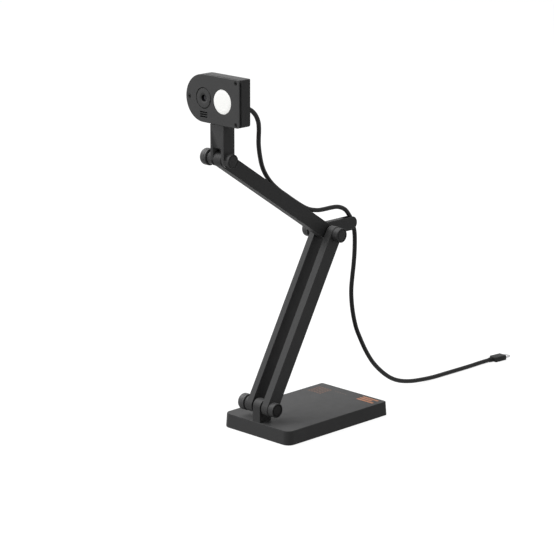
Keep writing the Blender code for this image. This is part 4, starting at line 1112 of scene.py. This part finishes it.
def add_lamp(name, place, size, power):
    """A square lamp that faces the object."""
    data = bpy.data.lights.new(name, "AREA")
    data.shape = "SQUARE"
    data.size = size
    data.energy = power
    lamp = bpy.data.objects.new(name, data)
    bpy.context.scene.collection.objects.link(lamp)
    lamp.location = place
    look = Vector(LIGHT_AIM) - Vector(place)
    lamp.rotation_euler = look.to_track_quat("-Z", "Y").to_euler()


def seen_directly(owner):
    """1 for rays that show the background: from the camera, in a reflection or through glass."""
    path = add_node(owner, "ShaderNodeLightPath").outputs
    first = calculate(owner, "MAXIMUM", path["Is Camera Ray"], path["Is Glossy Ray"])
    return calculate(owner, "MAXIMUM", first, path["Is Transmission Ray"])


def add_surroundings():
    """White all round where it is seen, and a soft fill where it only lights."""
    world = bpy.data.worlds.new("studio")
    bpy.context.scene.world = world
    world.use_nodes = True
    world.node_tree.nodes.clear()
    white = tinted(WHITE)
    fill = add_node(world, "ShaderNodeBackground", {"Color": white, "Strength": FILL_LEVEL}).outputs[0]
    shown = add_node(world, "ShaderNodeBackground", {"Color": white, "Strength": 1.0}).outputs[0]
    mixed = add_node(world, "ShaderNodeMixShader", {0: seen_directly(world), 1: fill, 2: shown})
    add_node(world, "ShaderNodeOutputWorld", {"Surface": mixed.outputs[0]})


def add_floor():
    """A white floor that keeps the object's shadow."""
    material = bpy.data.materials.new("floor_white")
    material.use_nodes = True
    material.node_tree.nodes.clear()
    matt = add_node(material, "ShaderNodeBsdfDiffuse", {"Color": tinted(WHITE, FLOOR_ALBEDO)}).outputs[0]
    level = calculate(material, "MULTIPLY", seen_directly(material), FLOOR_GLOW)
    values = {"Color": tinted(WHITE), "Strength": level}
    glow = add_node(material, "ShaderNodeEmission", values).outputs[0]
    both = add_node(material, "ShaderNodeAddShader", {0: matt, 1: glow}).outputs[0]
    add_node(material, "ShaderNodeOutputMaterial", {"Surface": both})
    work = bmesh.new()
    bmesh.ops.create_grid(work, x_segments=1, y_segments=1, size=FLOOR_SIZE / 2)
    new_piece("floor", work, material)


# Putting the object together


def stand_in(piece, node, body):
    """Puts a finer piece in the place of a CAD node."""
    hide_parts(node)
    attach(piece, body)


def add_on(piece, body):
    """Adds a piece that stands for no CAD node."""
    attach(piece, body)


def add_cord(name, material, route):
    """One length of the cable: a tube along its route, in place of its CAD node."""
    path = smooth_route(route, CORD_RING_SPACING)
    piece = tube(name + "_finish", path, CABLE_DIAMETER / 2, material)
    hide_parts(name)
    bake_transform(piece)


def add_cable(material):
    """The plug and the cable's three lengths."""
    plug = plug_grip(material)
    stand_in(plug, "usb_plug", "base")
    add_cord("cord_head", material, HEAD_ROUTE)
    add_cord("cord_elbow", material, ELBOW_ROUTE)
    add_cord("cord_drop", material, DROP_ROUTE)


def slot_finishes(cable):
    """The finish of each of the record's material slots."""
    lamp_centre = tuple(middle(*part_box("light_diffuser")))
    return {
        "shell_grey": moulded_plastic("shell_grey", SHELL_COLOUR, CASING_ROUGHNESS),
        "arm_grey": moulded_plastic("arm_grey", ARM_COLOUR, CASING_ROUGHNESS),
        "head_grey": moulded_plastic("head_grey", HEAD_COLOUR, CASING_ROUGHNESS),
        "knob_black": moulded_plastic("knob_black", KNOB_COLOUR, KNOB_ROUGHNESS, FINE_GRAIN_SIZE,
                                      FINE_GRAIN_HEIGHT),
        "lens_black": smooth_plastic("lens_black", LENS_COLOUR, LENS_ROUGHNESS, LENS_SPECULAR),
        "chip_black": smooth_plastic("chip_black", CHIP_COLOUR, CHIP_ROUGHNESS, CHIP_SPECULAR),
        "bush_white": smooth_plastic("bush_white", BUSH_COLOUR, BUSH_ROUGHNESS),
        "pad_rubber": rubber("pad_rubber", RUBBER_COLOUR),
        "steel": brushed_metal("steel", STEEL_COLOUR),
        "zinc": cast_metal("zinc", ZINC_COLOUR),
        "board_green": circuit_board("board_green", BOARD_COLOUR),
        "lens_glass": coated_glass("lens_glass", GLASS_COLOUR),
        "cable_black": cable,
        "light_white": lamp_cover("light_white", LAMP_COLOUR, lamp_centre),
    }


def front_cover_finish():
    """The front plate's plastic, with painted shade in the gap between the plate and the casing."""
    material = moulded_plastic("cover_grey", COVER_COLOUR, CASING_ROUGHNESS)
    low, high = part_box("front_cover")
    paint_gap_shade(material, low.y + COVER_THICKNESS + GAP_MARGIN, high.y + GAP_MARGIN)
    return material


def dress_nodes(finishes, cover_finish):
    """Gives each CAD node its slot's finish, and rounds the edges of the larger ones."""
    for part in frame["record"]["subparts"]:
        dress(part["node"], finishes[part["material_slot"]])
    dress("front_cover", cover_finish)
    for node in ROUNDED_NODES:
        refine(node, ROUNDED_ANGLE)
    refine("front_cover", COVER_ROUNDED_ANGLE)


def add_hinge_pieces(finishes, cap_finish):
    """The knob and the end cap of each hinge."""
    for hinge in ("foot", "elbow", "wrist"):
        name = f"{hinge}_knob"
        stand_in(knob(name, finishes["knob_black"]), name, name)
    caps = (
        ("foot_end_cap", "lower_arm", cap_finish, CAP_GROOVE_DEPTH),
        ("elbow_end_cap", "lower_arm", finishes["arm_grey"], PLAIN_GROOVE_DEPTH),
        ("wrist_end_cap", "head", finishes["head_grey"], PLAIN_GROOVE_DEPTH),
    )
    for name, carrier, finish, groove in caps:
        stand_in(end_cap(name, finish, groove), name, carrier)


def add_head_pieces(finishes, cover_finish, screw_finish):
    """The lens, the lamp, the gauze, the screws and the cable's sleeve."""
    stand_in(lens_bezel(cover_finish), "lens_bezel", "head")
    stand_in(lens_front(finishes["lens_glass"]), "lens_glass", "head")
    stand_in(lamp_disc(finishes["light_white"]), "light_diffuser", "head")
    add_on(lens_throat(finishes["lens_black"]), "head")
    add_on(lens_index(finishes["lens_black"]), "head")
    add_on(mic_gauze(finishes["chip_black"]), "head")
    for i in range(COVER_SCREWS):
        screw = f"cover_screw_{i + 1}"
        stand_in(cover_screw(screw, screw_finish), screw, "head")
    stand_in(relief_sleeve(finishes["pad_rubber"]), "strain_relief", "head")


# The camera and the cable come first

add_camera()
cable_finish = cable_sheath("cable_black", CABLE_COLOUR)
add_cable(cable_finish)

all_finishes = slot_finishes(cable_finish)
plate_finish = front_cover_finish()
dark_cap_finish = moulded_plastic("cap_black", CAP_COLOUR, CAP_ROUGHNESS, FINE_GRAIN_SIZE, FINE_GRAIN_HEIGHT,
                                  CAP_SPECULAR)
dark_screw_finish = smooth_plastic("screw_black", SCREW_COLOUR, SCREW_ROUGHNESS, SCREW_SPECULAR)
dress_nodes(all_finishes, plate_finish)
add_hinge_pieces(all_finishes, dark_cap_finish)
add_head_pieces(all_finishes, plate_finish, dark_screw_finish)
add_marks()

add_surroundings()
add_floor()
add_lamp("key", KEY_PLACE, KEY_SIZE, KEY_POWER)
bpy.context.scene.view_settings.view_transform = "Standard"
